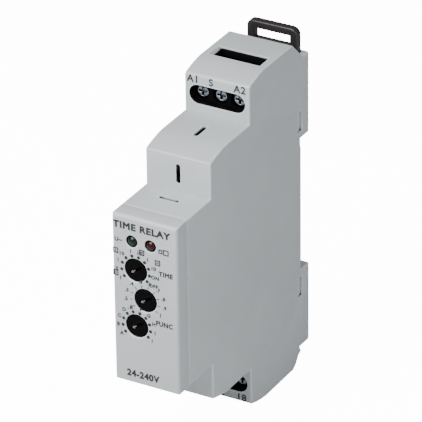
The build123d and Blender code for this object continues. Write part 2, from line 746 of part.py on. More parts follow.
with BuildPart() as relay_card:
    finger_z = (blade_z[0] - card_gap - card_finger, blade_z[1] + card_gap + card_finger)
    block((card_x[0] - 1.0, card_x[1]), span(relay_y, card_wide), (armature_z[1], armature_z[1] + card_foot))
    block(card_x, span(relay_y, card_wide), (armature_z[1], finger_z[0] + card_finger))
    block((blade_x[1] + 0.15, card_x[1] + 0.4), span(relay_y, card_wide), (armature_z[1], finger_z[1]))
    block(card_x, span(relay_y, card_wide), (finger_z[1] - card_finger, finger_z[1]))
finish(relay_card, "relay_card")

with BuildPart() as relay_blade:
    block(blade_x, span(relay_y, blade_wide), blade_z)
    rod_z(rivet_radius, (contact_x, relay_y), (blade_z[0] - rivet_high, blade_z[1] + rivet_high))
finish(relay_blade, "relay_blade")

with BuildPart() as relay_fixed_contacts:
    for name in closed_z:
        plate_z = pin_z[name]
        block((base_top + 0.1, contact_x + rivet_radius), span(relay_y, blade_wide), plate_z)
        block((board_x[0] - leg_reach, base_top + 0.1), span(relay_y, pin_wide), plate_z)
        rivet_z = (min(closed_z[name], plate_z[0]), max(closed_z[name], plate_z[1]))
        rod_z(rivet_radius, (contact_x, relay_y), rivet_z)
finish(relay_fixed_contacts, "relay_fixed_contacts")

with BuildPart() as relay_pins:
    block((board_x[0] - leg_reach, blade_x[0] - 0.05), span(relay_y, pin_wide), blade_z)
    for centre in coil_pins:
        rod_x(coil_pin_radius, centre, (board_x[0] - leg_reach, base_top + 0.1))
finish(relay_pins, "relay_pins")

# ---------------------------------------------------------------- power parts on the main board
wire_radius = 0.3
smoothing_gap = 5.7  # relay to the middle of the smoothing capacitor
output_gap = 9.6  # between the capacitors' middles
smoothing_z = relay_z[1] + smoothing_gap
output_z = smoothing_z + output_gap
round_parts = {
    "smoothing_capacitor": ((relay_y, smoothing_z), 4.0, 11.5, (1.75, -1.75)),
    "output_capacitor": ((relay_y, output_z), 3.15, 8.0, (1.25, -1.25)),
    "choke": ((step_y + 14.0, 13.0), 3.6, 8.0, (2.5, -2.5)),
}
lead_holes = []
for name, ((y, z), radius, tall, lead_offsets) in round_parts.items():
    with BuildPart() as can:
        rod_x(radius, (y, z), (board_x[1] + 0.1, board_x[1] + 0.1 + tall))
        rims = can.edges().filter_by(GeomType.CIRCLE)
        fillet(rims, radius=0.5)
        if name == "choke":
            with BuildSketch(Plane.YZ.offset(board_x[1] + 1.8)):
                with Locations((y, z)):
                    Circle(radius + 0.1)
                    Circle(radius - 0.5, mode=Mode.SUBTRACT)
            extrude(amount=tall - 3.4, mode=Mode.SUBTRACT)
        else:
            with BuildSketch(Plane.YZ.offset(board_x[1] + 1.5)):
                with Locations((y, z)):
                    Circle(radius + 0.1)
                    Circle(radius - 0.2, mode=Mode.SUBTRACT)
            extrude(amount=0.6, mode=Mode.SUBTRACT)
        for offset_z in lead_offsets:
            centre = (y, z + offset_z)
            lead_holes.append(centre)
            rod_x(wire_radius, centre, (board_x[0] - leg_reach, board_x[1] + 0.6))
    finish(can, name)

film_y = tier_y + 6.6
film_z = -6.0
with BuildPart() as film_capacitor:
    block((board_x[1] + 0.1, board_x[1] + 11.1), span(film_y, 6.0), span(film_z, 13.0))
    fillet(film_capacitor.edges(), radius=0.4)
    for side in (1, -1):
        centre = (film_y, film_z + side * 5.0)
        lead_holes.append(centre)
        rod_x(wire_radius, centre, (board_x[0] - leg_reach, board_x[1] + 0.6))
finish(film_capacitor, "film_capacitor")

varistor_x = board_x[1] + 6.3
varistor_y = relay_y
varistor_gap = 10.8  # output capacitor's middle to the varistor's
varistor_z = output_z + varistor_gap
with BuildPart() as varistor:
    rod_y(4.6, (varistor_x, varistor_z), span(varistor_y, 3.4))
    fillet(varistor.edges().filter_by(GeomType.CIRCLE), radius=1.2)
    for side in (1, -1):
        centre = (varistor_y + side * 0.6, varistor_z + side * 2.5)
        lead_holes.append(centre)
        rod_x(wire_radius, centre, (board_x[0] - leg_reach, varistor_x - 3.0))
finish(varistor, "varistor")

resistor_y = tier_y + 4.6
resistor_z = 12.5
resistor_x = board_x[1] + 2.1
with BuildPart() as fusible_resistor:
    rod_z(1.6, (resistor_x, resistor_y), span(resistor_z, 9.0))
    fillet(fusible_resistor.edges().filter_by(GeomType.CIRCLE), radius=0.6)
    for side in (1, -1):
        outer_z = resistor_z + side * 6.3
        lead_holes.append((resistor_y, outer_z))
        with BuildLine():
            bent_lead = FilletPolyline(
                (board_x[0] - leg_reach, resistor_y, outer_z),
                (resistor_x, resistor_y, outer_z),
                (resistor_x, resistor_y, resistor_z + side * 4.4),
                radius=0.9,
            )
        with BuildSketch(Plane(origin=bent_lead @ 0, z_dir=bent_lead % 0)):
            Circle(wire_radius)
        sweep(path=bent_lead)
finish(fusible_resistor, "fusible_resistor")

# ---------------------------------------------------------------- chips
chips = {
    "microcontroller": ((step_y + 14.0, -4.0), 3.9, 9.9, 1.5, 8),
    "rectifier": ((step_y + 14.0, 23.5), 4.0, 4.7, 2.4, 2),
}
for name, ((y, z), wide, long, tall, side_pins) in chips.items():
    with BuildPart() as chip:
        block((board_x[1] + 0.15, board_x[1] + 0.15 + tall), span(y, wide), span(z, long))
        chamfer(chip.faces().sort_by(Axis.X)[-1].edges(), length=0.2)
        step = long / side_pins
        for i in range(side_pins):
            foot_centre = z + (i - (side_pins - 1) / 2) * step
            block((board_x[1] + 0.01, board_x[1] + 0.21), span(y, wide + 2.0),
                  span(foot_centre, 0.42))
    finish(chip, name)

chip_columns = 4
chip_rows = 5
with BuildPart() as chip_parts:
    for column in range(chip_columns):
        for row in range(chip_rows):
            y = step_y + 3.8 + column * 1.9
            z = -20.0 + row * 2.6
            block((board_x[1] + 0.01, board_x[1] + 0.61), span(y, 1.2), span(z, 2.0))
finish(chip_parts, "chip_parts")

# ---------------------------------------------------------------- main board
with BuildPart() as main_board:
    block(board_x, (board_front_y, block_y[0]), span(0, 2 * board_shelf_z))
    tall_y = (block_y[0], -wall - board_play)
    block(board_x, tall_y, span(0, 2 * board_tall_z))
    nose_part_z = nose_z - wall - board_play
    for side in (1, -1):
        corner_z = mirrored((nose_part_z, step_z), side)
        block(board_x, (board_front_y, step_y + wall + board_play), corner_z, Mode.SUBTRACT)
    for centre in posts:
        rod_x(pin_hole, centre, board_x, Mode.SUBTRACT)
    for side in (1, -1):
        for order in range(len(poles)):
            leg_z = mirrored(span(leg_first_z - order * leg_pitch, leg_high + 2 * leg_slack), side)
            leg_y = (strap_y[0] - leg_slack, strap_y[1] + leg_slack)
            block(board_x, leg_y, leg_z, Mode.SUBTRACT)
    for low, high in pin_z.values():
        block(board_x, span(relay_y, pin_wide + 2 * fit_gap), (low - fit_gap, high + fit_gap), Mode.SUBTRACT)
    for centre in coil_pins:
        rod_x(coil_pin_radius + fit_gap, centre, board_x, Mode.SUBTRACT)
    for centre in lead_holes:
        rod_x(wire_radius + fit_gap, centre, board_x, Mode.SUBTRACT)
    for z in link_zs:
        block(board_x, span(link_turn_y, link_pin + lead_slack), span(z, link_pin + lead_slack),
              Mode.SUBTRACT)
finish(main_board, "main_board")

print("pivot of the armature", round(pivot_x, 3), round(yoke_z[1], 3), "swing", round(armature_swing, 3))
print("foot of the blade", round(blade_x[0], 3), round(sum(blade_z) / 2, 3), "ratio", round(blade_ratio, 4))
print("spring top", round(peg_z[0], 3), "loop top", loop_top_z)
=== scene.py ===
import json
import math

import bmesh
import bpy
from mathutils import Matrix, Vector


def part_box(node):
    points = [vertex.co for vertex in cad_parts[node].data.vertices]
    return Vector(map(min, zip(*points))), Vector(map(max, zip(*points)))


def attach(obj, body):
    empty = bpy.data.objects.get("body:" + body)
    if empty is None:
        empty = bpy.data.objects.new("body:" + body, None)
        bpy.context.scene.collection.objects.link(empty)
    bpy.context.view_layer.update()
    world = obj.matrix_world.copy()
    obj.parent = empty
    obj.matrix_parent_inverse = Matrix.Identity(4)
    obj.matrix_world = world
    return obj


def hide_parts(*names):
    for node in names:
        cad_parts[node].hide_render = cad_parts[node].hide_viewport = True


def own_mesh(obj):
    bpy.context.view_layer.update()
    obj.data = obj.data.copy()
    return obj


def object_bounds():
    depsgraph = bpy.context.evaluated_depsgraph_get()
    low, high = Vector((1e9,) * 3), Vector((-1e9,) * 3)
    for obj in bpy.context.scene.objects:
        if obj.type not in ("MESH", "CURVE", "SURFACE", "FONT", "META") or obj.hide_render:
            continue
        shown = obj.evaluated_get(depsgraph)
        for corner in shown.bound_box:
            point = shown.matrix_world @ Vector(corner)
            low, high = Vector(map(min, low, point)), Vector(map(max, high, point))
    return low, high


bl_info = {
    "name": "Rail Timer",
    "version": (1, 0, 0),
    "blender": (4, 5, 0),
    "location": "View3D > Sidebar > Rail Timer",
    "description": "Looks of a one-module timing relay that clips on a mounting rail",
    "category": "Object",
}

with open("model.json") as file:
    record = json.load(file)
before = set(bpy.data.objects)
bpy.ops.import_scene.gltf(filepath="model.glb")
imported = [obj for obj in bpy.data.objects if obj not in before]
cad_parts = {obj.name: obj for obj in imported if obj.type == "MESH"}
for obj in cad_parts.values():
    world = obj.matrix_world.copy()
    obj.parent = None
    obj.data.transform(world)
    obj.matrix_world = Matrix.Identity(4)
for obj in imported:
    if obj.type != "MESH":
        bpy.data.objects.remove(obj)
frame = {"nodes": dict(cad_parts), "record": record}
MM = 0.001
MICRON = 0.000001
CAD_LOW, CAD_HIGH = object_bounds()
POLES_ABOVE = ("a1", "s", "a2")
POLES_BELOW = ("15", "16", "18")
DIALS = ("range", "time", "function")
DIAL_FIRST, DIAL_LAST = math.radians(215), math.radians(-35)
DIAL_MARKS = 10
ON_PLANE = 3 * MICRON  # how near a point is to a plane that it lies in

# words, middle across and up, height and width: all in millimetres
TITLES = (
    ("TIME RELAY", -0.55, 19.9, 1.9, 15.6),
    ("TIME", 5.7, 9.4, 1.3, 3.8),
    ("FUNC", 5.1, -4.1, 1.4, 4.5),
    ("24-240V", -0.95, -19.6, 1.95, 8.9),
    ("U~", -6.95, 15.8, 1.15, 2.0),
)
BOXED_LETTERS = (("S", -7.75, 12.75), ("M", -0.7, 13.75), ("H", 3.55, 12.1), ("D", -7.85, 6.75))
UPPER_NUMBERS = (("A1", -6.75), ("S", -1.6), ("A2", 6.1))
LOWER_NUMBERS = (("15", -6.2), ("16", 0.0), ("18", 6.1))
# ahead of the dial's middle and beside its pointing line, in millimetres
ARROW = (
    (1.75, 0.0), (0.98, 0.45), (1.08, 0.13), (0.35, 0.13), (0.35, -0.13), (1.08, -0.13), (0.98, -0.45)
)


def middle(node):
    """Centre of a node's box."""
    low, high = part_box(node)
    return (low + high) / 2


# ------------------------------------------------------------------ settings
def length(label, about, value):
    """A size in metres that a user can change."""
    return bpy.props.FloatProperty(
        name=label, description=about, default=value, min=0, unit="LENGTH", precision=5
    )


def colour(label, about, value):
    """A surface colour that a user can change."""
    return bpy.props.FloatVectorProperty(
        name=label, description=about, default=value, size=3, min=0, max=1, subtype="COLOR"
    )


def share(label, about, value, top=1.0):
    """A plain factor that a user can change."""
    return bpy.props.FloatProperty(name=label, description=about, default=value, min=0, max=top)


def angle(label, about, degrees):
    """An angle that a user can change."""
    return bpy.props.FloatProperty(
        name=label, description=about, default=math.radians(degrees), subtype="ANGLE"
    )


def number(label, about, value):
    """A plain number that a user can change."""
    return bpy.props.FloatProperty(name=label, description=about, default=value)


class CaseSettings(bpy.types.PropertyGroup):
    """Housing, side cover and front cap."""

    edge_round: length("Edge rounding", "Radius along the case's outer edges", 0.4 * MM)
    rim_round: length("Rim rounding", "Radius at windows, slots and seams", 0.09 * MM)
    case_colour: colour("Case", "Moulded case plastic", (0.50, 0.53, 0.54))
    cap_colour: colour("Cap", "Moulded front cap plastic", (0.50, 0.53, 0.54))
    grain: length("Grain", "Height of the moulded surface grain", 4 * MICRON)


class PrintSettings(bpy.types.PropertyGroup):
    """Lettering and scales."""

    ink_colour: colour("Ink", "Printing on the case", (0.012, 0.0125, 0.014))
    ink_thick: length("Ink thickness", "How far the printing stands off the plastic", 8 * MICRON)
    mark_radius: length("Mark radius", "Dial centre to the middle of its marks", 3.76 * MM)
    label_radius: length("Label radius", "Dial centre to the middle of its labels", 5.0 * MM)
    dot_size: length("Dot", "Diameter of a dial dot", 0.9 * MM)
    label_height: length("Label height", "Height of a dial label's capitals", 1.05 * MM)


class ControlSettings(bpy.types.PropertyGroup):
    """Dials and lamps."""

    knob_colour: colour("Dial", "Black dial plastic", (0.0015, 0.0015, 0.0017))
    pointer_colour: colour("Pointer", "Arrow let into the dial", (0.14, 0.135, 0.125))
    green: colour("Supply lamp", "Lens of the supply lamp", (0.0008, 0.011, 0.004))
    red: colour("Output lamp", "Lens of the output lamp", (0.02, 0.0008, 0.001))


class TerminalSettings(bpy.types.PropertyGroup):
    """Screws, cages, straps and terminal blocks."""

    plating: colour("Plating", "Zinc plated steel", (0.33, 0.37, 0.41))
    # the blocks are black plastic, and their near-black also stands in for the shade inside the terminal
    # windows: partly painted shade
    block_and_shade_colour: colour("Block", "Black terminal block", (0.0016, 0.0016, 0.0018))
    thread_pitch: length("Thread pitch", "Rise of the terminal screw's thread", 0.45 * MM)


class RailSettings(bpy.types.PropertyGroup):
    """Rail latch and its spring."""

    latch_colour: colour("Latch", "Black sliding latch", (0.014, 0.0115, 0.0115))
    spring_wire: length("Spring wire", "Diameter of the spring's wire", 0.3 * MM)
    spring_turns: bpy.props.IntProperty(
        name="Spring turns", description="Turns of the latch spring", default=9, min=3, max=30
    )


class InsideSettings(bpy.types.PropertyGroup):
    """Boards, relay and electronic parts."""

    board_colour: colour("Board", "Solder resist", (0.012, 0.10, 0.045))
    copper: colour("Copper", "Enamelled winding wire", (0.50, 0.17, 0.06))
    wire_size: length("Winding wire", "Diameter of the choke's and relay's wire", 0.42 * MM)


class StageSettings(bpy.types.PropertyGroup):
    """Floor, lights and camera."""

    floor_colour: colour("Floor", "Pale floor", (0.6, 0.6, 0.6))
    floor_glow: share("Floor glow", "Light that the floor shows the camera", 14.0, 40.0)
    key_power: number("Key light", "Watts", 1.9)
    fill_power: number("Fill light", "Watts", 6.2)
    sky: share("Room light", "Strength of the even room light", 0.3, 5.0)
    azimuth: angle("Azimuth", "Camera's turn round the object", 29.70)
    elevation: angle("Elevation", "Camera's height above level", 28.52)
    roll: angle("Roll", "Camera's turn about its own line", -0.73)
    distance: length("Distance", "Camera to the point it aims at", 1032.0 * MM)
    lens: number("Lens", "Focal length in millimetres", 366.5)


SETTINGS = {
    "rail_timer_case": CaseSettings,
    "rail_timer_print": PrintSettings,
    "rail_timer_controls": ControlSettings,
    "rail_timer_terminals": TerminalSettings,
    "rail_timer_rail": RailSettings,
    "rail_timer_inside": InsideSettings,
    "rail_timer_stage": StageSettings,
}


# ------------------------------------------------------------------ shader groups
def shader_group(name, inputs, outputs):
    """An empty shader node group with named sockets, and its two ends."""
    group = bpy.data.node_groups.new(name, "ShaderNodeTree")
    for label, kind, value in inputs:
        socket = group.interface.new_socket(label, in_out="INPUT", socket_type=kind)
        socket.default_value = value
    for label, kind in outputs:
        group.interface.new_socket(label, in_out="OUTPUT", socket_type=kind)
    return group, group.nodes.new("NodeGroupInput"), group.nodes.new("NodeGroupOutput")


def calc(tree, operation, first, second=0.0):
    """A math node fed by sockets or numbers; its result socket."""
    node = tree.nodes.new("ShaderNodeMath")
    node.operation = operation
    for socket, value in zip(node.inputs, (first, second)):
        if isinstance(value, bpy.types.NodeSocket):
            tree.links.new(value, socket)
        else:
            socket.default_value = value
    return node.outputs[0]


def vector_calc(tree, operation, *values):
    """A vector math node fed by sockets or points; the node."""
    node = tree.nodes.new("ShaderNodeVectorMath")
    node.operation = operation
    for socket, value in zip(node.inputs, values):
        if isinstance(value, bpy.types.NodeSocket):
            tree.links.new(value, socket)
        else:
            socket.default_value = value
    return node


def object_place(tree):
    """The socket that gives a point's place on its object."""
    return tree.nodes.new("ShaderNodeTexCoord").outputs["Object"]


def noise(tree, position, scale, detail=3.0, roughness=0.5):
    """A noise texture read at a position; its value socket. Scale is a socket or a number."""
    node = tree.nodes.new("ShaderNodeTexNoise")
    node.inputs["Detail"].default_value = detail
    node.inputs["Roughness"].default_value = roughness
    tree.links.new(position, node.inputs["Vector"])
    if isinstance(scale, bpy.types.NodeSocket):
        tree.links.new(scale, node.inputs["Scale"])
    else:
        node.inputs["Scale"].default_value = scale
    return node.outputs["Fac"]


def ramp(tree, value, low, high):
    """Value stretched so that low gives 0 and high gives 1, held between them."""
    node = tree.nodes.new("ShaderNodeMapRange")
    node.inputs["From Min"].default_value = low
    node.inputs["From Max"].default_value = high
    tree.links.new(value, node.inputs["Value"])
    return node.outputs["Result"]


def blend_colours(tree, factor, first, second):
    """A colour mix fed by a factor socket and two sockets or colours; its result socket."""
    node = tree.nodes.new("ShaderNodeMix")
    node.data_type = "RGBA"
    sockets = {"Factor": factor, "A": first, "B": second}
    for label, value in sockets.items():
        socket = next(s for s in node.inputs if s.name == label and s.enabled)
        if isinstance(value, bpy.types.NodeSocket):
            tree.links.new(value, socket)
        else:
            socket.default_value = (*value, 1.0)
    return next(s for s in node.outputs if s.enabled)


def moulding_group():
    """Moulded plastic: spark-eroded grain, faint flow clouds and rubbed patches."""
    group, start, end = shader_group(
        "moulded_surface",
        [("Grain Size", "NodeSocketFloat", 5200.0), ("Cloud Size", "NodeSocketFloat", 60.0)],
        [("Grain", "NodeSocketFloat"), ("Clouds", "NodeSocketFloat"), ("Rubbed", "NodeSocketFloat")],
    )
    place = object_place(group)
    fine = noise(group, place, start.outputs["Grain Size"], 2.0, 0.6)
    coarse = noise(group, place, calc(group, "MULTIPLY", start.outputs["Grain Size"], 0.27), 2.0)
    both = calc(group, "ADD", calc(group, "MULTIPLY", fine, 0.65), calc(group, "MULTIPLY", coarse, 0.35))
    clouds = noise(group, place, start.outputs["Cloud Size"], 4.0)
    rubbed = noise(group, place, calc(group, "MULTIPLY", start.outputs["Cloud Size"], 3.1), 5.0, 0.62)
    group.links.new(both, end.inputs["Grain"])
    group.links.new(ramp(group, clouds, 0.32, 0.68), end.inputs["Clouds"])
    group.links.new(ramp(group, rubbed, 0.42, 0.72), end.inputs["Rubbed"])
    return group


def edge_group():
    """Edge mask for wear and a painted highlight: 1 where the surface turns sharply, 0 on the flat, broken
    up by noise.
    """
    group, start, end = shader_group(
        "worn_edge",
        [("Width", "NodeSocketFloat", 0.6 * MM), ("Breakup", "NodeSocketFloat", 0.3)],
        [("Edge", "NodeSocketFloat")],
    )
    bevel = group.nodes.new("ShaderNodeBevel")
    bevel.samples = 4
    group.links.new(start.outputs["Width"], bevel.inputs["Radius"])
    flat = group.nodes.new("ShaderNodeNewGeometry")
    dot = vector_calc(group, "DOT_PRODUCT", bevel.outputs["Normal"], flat.outputs["Normal"])
    turn = ramp(group, calc(group, "SUBTRACT", 1.0, dot.outputs["Value"]), 0.002, 0.028)
    place = object_place(group)
    patches = ramp(group, noise(group, place, 900.0, 4.0, 0.6), 0.35, 0.6)
    kept = calc(group, "SUBTRACT", 1.0, calc(group, "MULTIPLY", start.outputs["Breakup"], patches))
    group.links.new(calc(group, "MULTIPLY", turn, kept), end.inputs["Edge"])
    return group


def crevice_group():
    """Painted shade held in narrow slots and recesses: 1 deep inside, 0 in the open."""
    group, start, end = shader_group(
        "crevice", [("Reach", "NodeSocketFloat", 1.4 * MM)], [("Crevice Shade", "NodeSocketFloat")]
    )
    open_air = group.nodes.new("ShaderNodeAmbientOcclusion")
    open_air.samples = 8
    group.links.new(start.outputs["Reach"], open_air.inputs["Distance"])
    group.links.new(ramp(group, open_air.outputs["AO"], 0.56, 0.36), end.inputs["Crevice Shade"])
    return group


def brushed_group():
    """Metal: fine drawn lines along one axis and a cloudy tarnish."""
    group, start, end = shader_group(
        "drawn_metal",
        [("Lines", "NodeSocketFloat", 4000.0), ("Stretch", "NodeSocketVector", (1.0, 0.06, 1.0))],
        [("Lines", "NodeSocketFloat"), ("Tarnish", "NodeSocketFloat")],
    )
    place = object_place(group)
    stretched = vector_calc(group, "MULTIPLY", place, start.outputs["Stretch"])
    lines = noise(group, stretched.outputs["Vector"], start.outputs["Lines"], 2.0, 0.55)
    tarnish = noise(group, place, 420.0, 4.0, 0.6)
    group.links.new(lines, end.inputs["Lines"])
    group.links.new(ramp(group, tarnish, 0.35, 0.7), end.inputs["Tarnish"])
    return group


def group_node(tree, name, **values):
    """A shader group placed in a material, with its values set."""
    node = tree.nodes.new("ShaderNodeGroup")
    node.node_tree = bpy.data.node_groups[name]
    for label, value in values.items():
        node.inputs[label.replace("_", " ")].default_value = value
    return node


# ------------------------------------------------------------------ materials
def start_material(name):
    """A new material, its node tree and its shader."""
    material = bpy.data.materials.new(name)
    material.use_nodes = True
    return material, material.node_tree, material.node_tree.nodes["Principled BSDF"]


def relief(tree, shader, height, distance):
    """Feeds a height to the shader's normal."""
    bump = tree.nodes.new("ShaderNodeBump")
    bump.inputs["Distance"].default_value = distance
    bump.inputs["Strength"].default_value = 1.0
    tree.links.new(height, bump.inputs["Height"])
    tree.links.new(bump.outputs["Normal"], shader.inputs["Normal"])


def roughen(tree, shader, base, value, spread):
    """Roughness from a base upward, by a share of a value."""
    varied = calc(tree, "MULTIPLY", value, spread)
    tree.links.new(calc(tree, "ADD", base, varied), shader.inputs["Roughness"])


def scaled(rgb, factor):
    """A colour made lighter or darker."""
    return tuple(min(1.0, channel * factor) for channel in rgb)


def plastic(name, rgb, rough=0.5, grain=4 * MICRON, grain_size=5200.0, edge_light=1.5, shine=0.5):
    """Moulded plastic with grain, flow clouds, rubbed patches, edges lightened as wear and as a painted
    highlight, and painted shade in crevices.
    """
    material, tree, shader = start_material(name)
    surface = group_node(tree, "moulded_surface", Grain_Size=grain_size)
    edge = group_node(tree, "worn_edge")
    cloudy = blend_colours(tree, surface.outputs["Clouds"], scaled(rgb, 0.965), scaled(rgb, 1.03))
    speckled = blend_colours(
        tree, calc(tree, "MULTIPLY", surface.outputs["Grain"], 0.10), cloudy, scaled(rgb, 0.6)
    )
    # edges lightened partly as wear and partly as a painted highlight
    worn_and_highlit = blend_colours(
        tree, calc(tree, "MULTIPLY", edge.outputs["Edge"], 0.9), speckled, scaled(rgb, edge_light)
    )
    # painted shade: slots and hollows are darkened nearly to black by ambient occlusion
    crevice = group_node(tree, "crevice")
    shaded = blend_colours(tree, crevice.outputs["Crevice Shade"], worn_and_highlit, scaled(rgb, 0.015))
    tree.links.new(shaded, shader.inputs["Base Color"])
    roughness = calc(tree, "ADD", rough - 0.06, calc(tree, "MULTIPLY", surface.outputs["Rubbed"], 0.1))
    tree.links.new(
        calc(tree, "SUBTRACT", roughness, calc(tree, "MULTIPLY", edge.outputs["Edge"], 0.12)),
        shader.inputs["Roughness"],
    )
    shader.inputs["Specular IOR Level"].default_value = shine
    relief(tree, shader, surface.outputs["Grain"], grain)
    return material


def metal(name, rgb, rough=0.3, stretch=(1.0, 0.06, 1.0), tarnish=0.78):
    """Plated or drawn metal with fine lines, tarnish, edges lightened as wear and as a painted highlight,
    and painted shade in recesses.
    """
    material, tree, shader = start_material(name)
    lines = group_node(tree, "drawn_metal", Stretch=stretch)
    edge = group_node(tree, "worn_edge", Width=0.12 * MM, Breakup=0.3)
    toned = blend_colours(tree, lines.outputs["Tarnish"], rgb, scaled(rgb, tarnish))
    # edges lightened partly as wear and partly as a painted highlight
    bright = blend_colours(tree, edge.outputs["Edge"], toned, scaled(rgb, 1.35))
    # painted shade: the screws' cross recesses and other hollows are darkened by ambient occlusion
    crevice = group_node(tree, "crevice", Reach=0.8 * MM)
    shaded = blend_colours(tree, crevice.outputs["Crevice Shade"], bright, scaled(rgb, 0.08))
    tree.links.new(shaded, shader.inputs["Base Color"])
    roughen(tree, shader, rough - 0.1, lines.outputs["Lines"], 0.22)
    shader.inputs["Metallic"].default_value = 1.0
    relief(tree, shader, lines.outputs["Lines"], 3 * MICRON)
    return material


def lens(name, rgb, centre, radius):
    """Tinted lamp lens: lighter in its middle and darker towards its rim as painted shade, with a moulded
    swirl and a clear coat.
    """
    material, tree, shader = start_material(name)
    place = object_place(tree)
    offset = vector_calc(tree, "SUBTRACT", place, centre)
    flat = vector_calc(tree, "MULTIPLY", offset.outputs["Vector"], (1.0, 0.0, 1.0))
    reach = vector_calc(tree, "LENGTH", flat.outputs["Vector"])
    outward = ramp(tree, reach.outputs["Value"], 0.25 * radius, 0.98 * radius)
    # painted shade: the lens is lighter in its middle and darker towards its rim
    shade = blend_colours(tree, outward, scaled(rgb, 1.25), scaled(rgb, 0.55))
    swirl = ramp(tree, noise(tree, place, 1400.0, 3.0), 0.4, 0.7)
    mixed = blend_colours(tree, calc(tree, "MULTIPLY", swirl, 0.35), shade, scaled(rgb, 1.7))
    tree.links.new(mixed, shader.inputs["Base Color"])
    roughen(tree, shader, 0.26, swirl, 0.1)
    shader.inputs["Coat Weight"].default_value = 0.15
    shader.inputs["Coat Roughness"].default_value = 0.08
    shader.inputs["Specular IOR Level"].default_value = 0.25
    relief(tree, shader, swirl, 6 * MICRON)
    return material


def ink(name, rgb):
    """Printed ink: slightly uneven, with a soft sheen."""
    material, tree, shader = start_material(name)
    place = object_place(tree)
    patches = ramp(tree, noise(tree, place, 3200.0, 3.0, 0.6), 0.35, 0.75)
    tree.links.new(blend_colours(tree, patches, rgb, scaled(rgb, 1.8)), shader.inputs["Base Color"])
    roughen(tree, shader, 0.42, patches, 0.2)
    relief(tree, shader, patches, 2 * MICRON)
    return material


def circuit(name, rgb):
    """Solder resist over copper tracks: tracks lift the surface and lighten the green."""
    material, tree, shader = start_material(name)
    place = object_place(tree)
    bricks = tree.nodes.new("ShaderNodeTexVoronoi")
    bricks.distance = "MANHATTAN"
    bricks.inputs["Scale"].default_value = 420.0
    tree.links.new(place, bricks.inputs["Vector"])
    tracks = ramp(tree, calc(tree, "PINGPONG", bricks.outputs["Distance"], 0.12), 0.05, 0.07)
    shade = blend_colours(tree, tracks, scaled(rgb, 0.7), scaled(rgb, 1.7))
    tree.links.new(shade, shader.inputs["Base Color"])
    weave = noise(tree, place, 2600.0, 2.0)
    roughen(tree, shader, 0.2, weave, 0.2)
    relief(tree, shader, calc(tree, "ADD", tracks, calc(tree, "MULTIPLY", weave, 0.2)), 20 * MICRON)
    return material


def wound(name, rgb, wire, axis):
    """Enamelled wire laid turn by turn along an axis, with painted shade between the turns."""
    material, tree, shader = start_material(name)
    place = object_place(tree)
    turns = tree.nodes.new("ShaderNodeTexWave")
    turns.bands_direction = axis
    turns.inputs["Scale"].default_value = 0.314 / wire
    turns.inputs["Distortion"].default_value = 0.5
    tree.links.new(place, turns.inputs["Vector"])
    # painted shade: the grooves between the turns are darkened to a quarter of the wire's colour
    gap_shade = blend_colours(tree, turns.outputs["Fac"], scaled(rgb, 0.25), rgb)
    tree.links.new(gap_shade, shader.inputs["Base Color"])
    varied = noise(tree, place, 900.0)
    roughen(tree, shader, 0.22, varied, 0.2)
    shader.inputs["Metallic"].default_value = 0.7
    relief(tree, shader, turns.outputs["Fac"], wire / 3)
    return material


def floor_finish(name, rgb, glow):
    """Pale studio floor with a very faint mottle, lit up for the camera as a white sweep is."""
    material, tree, shader = start_material(name)
    place = object_place(tree)
    mottle = noise(tree, place, 12.0, 4.0)
    tree.links.new(blend_colours(tree, mottle, scaled(rgb, 0.99), rgb), shader.inputs["Base Color"])
    roughen(tree, shader, 0.75, mottle, 0.1)
    shader.inputs["Specular IOR Level"].default_value = 0.1
    seen = tree.nodes.new("ShaderNodeLightPath").outputs["Is Camera Ray"]
    shader.inputs["Emission Color"].default_value = (1.0, 1.0, 1.0, 1.0)
    tree.links.new(calc(tree, "MULTIPLY", seen, glow), shader.inputs["Emission Strength"])
    return material


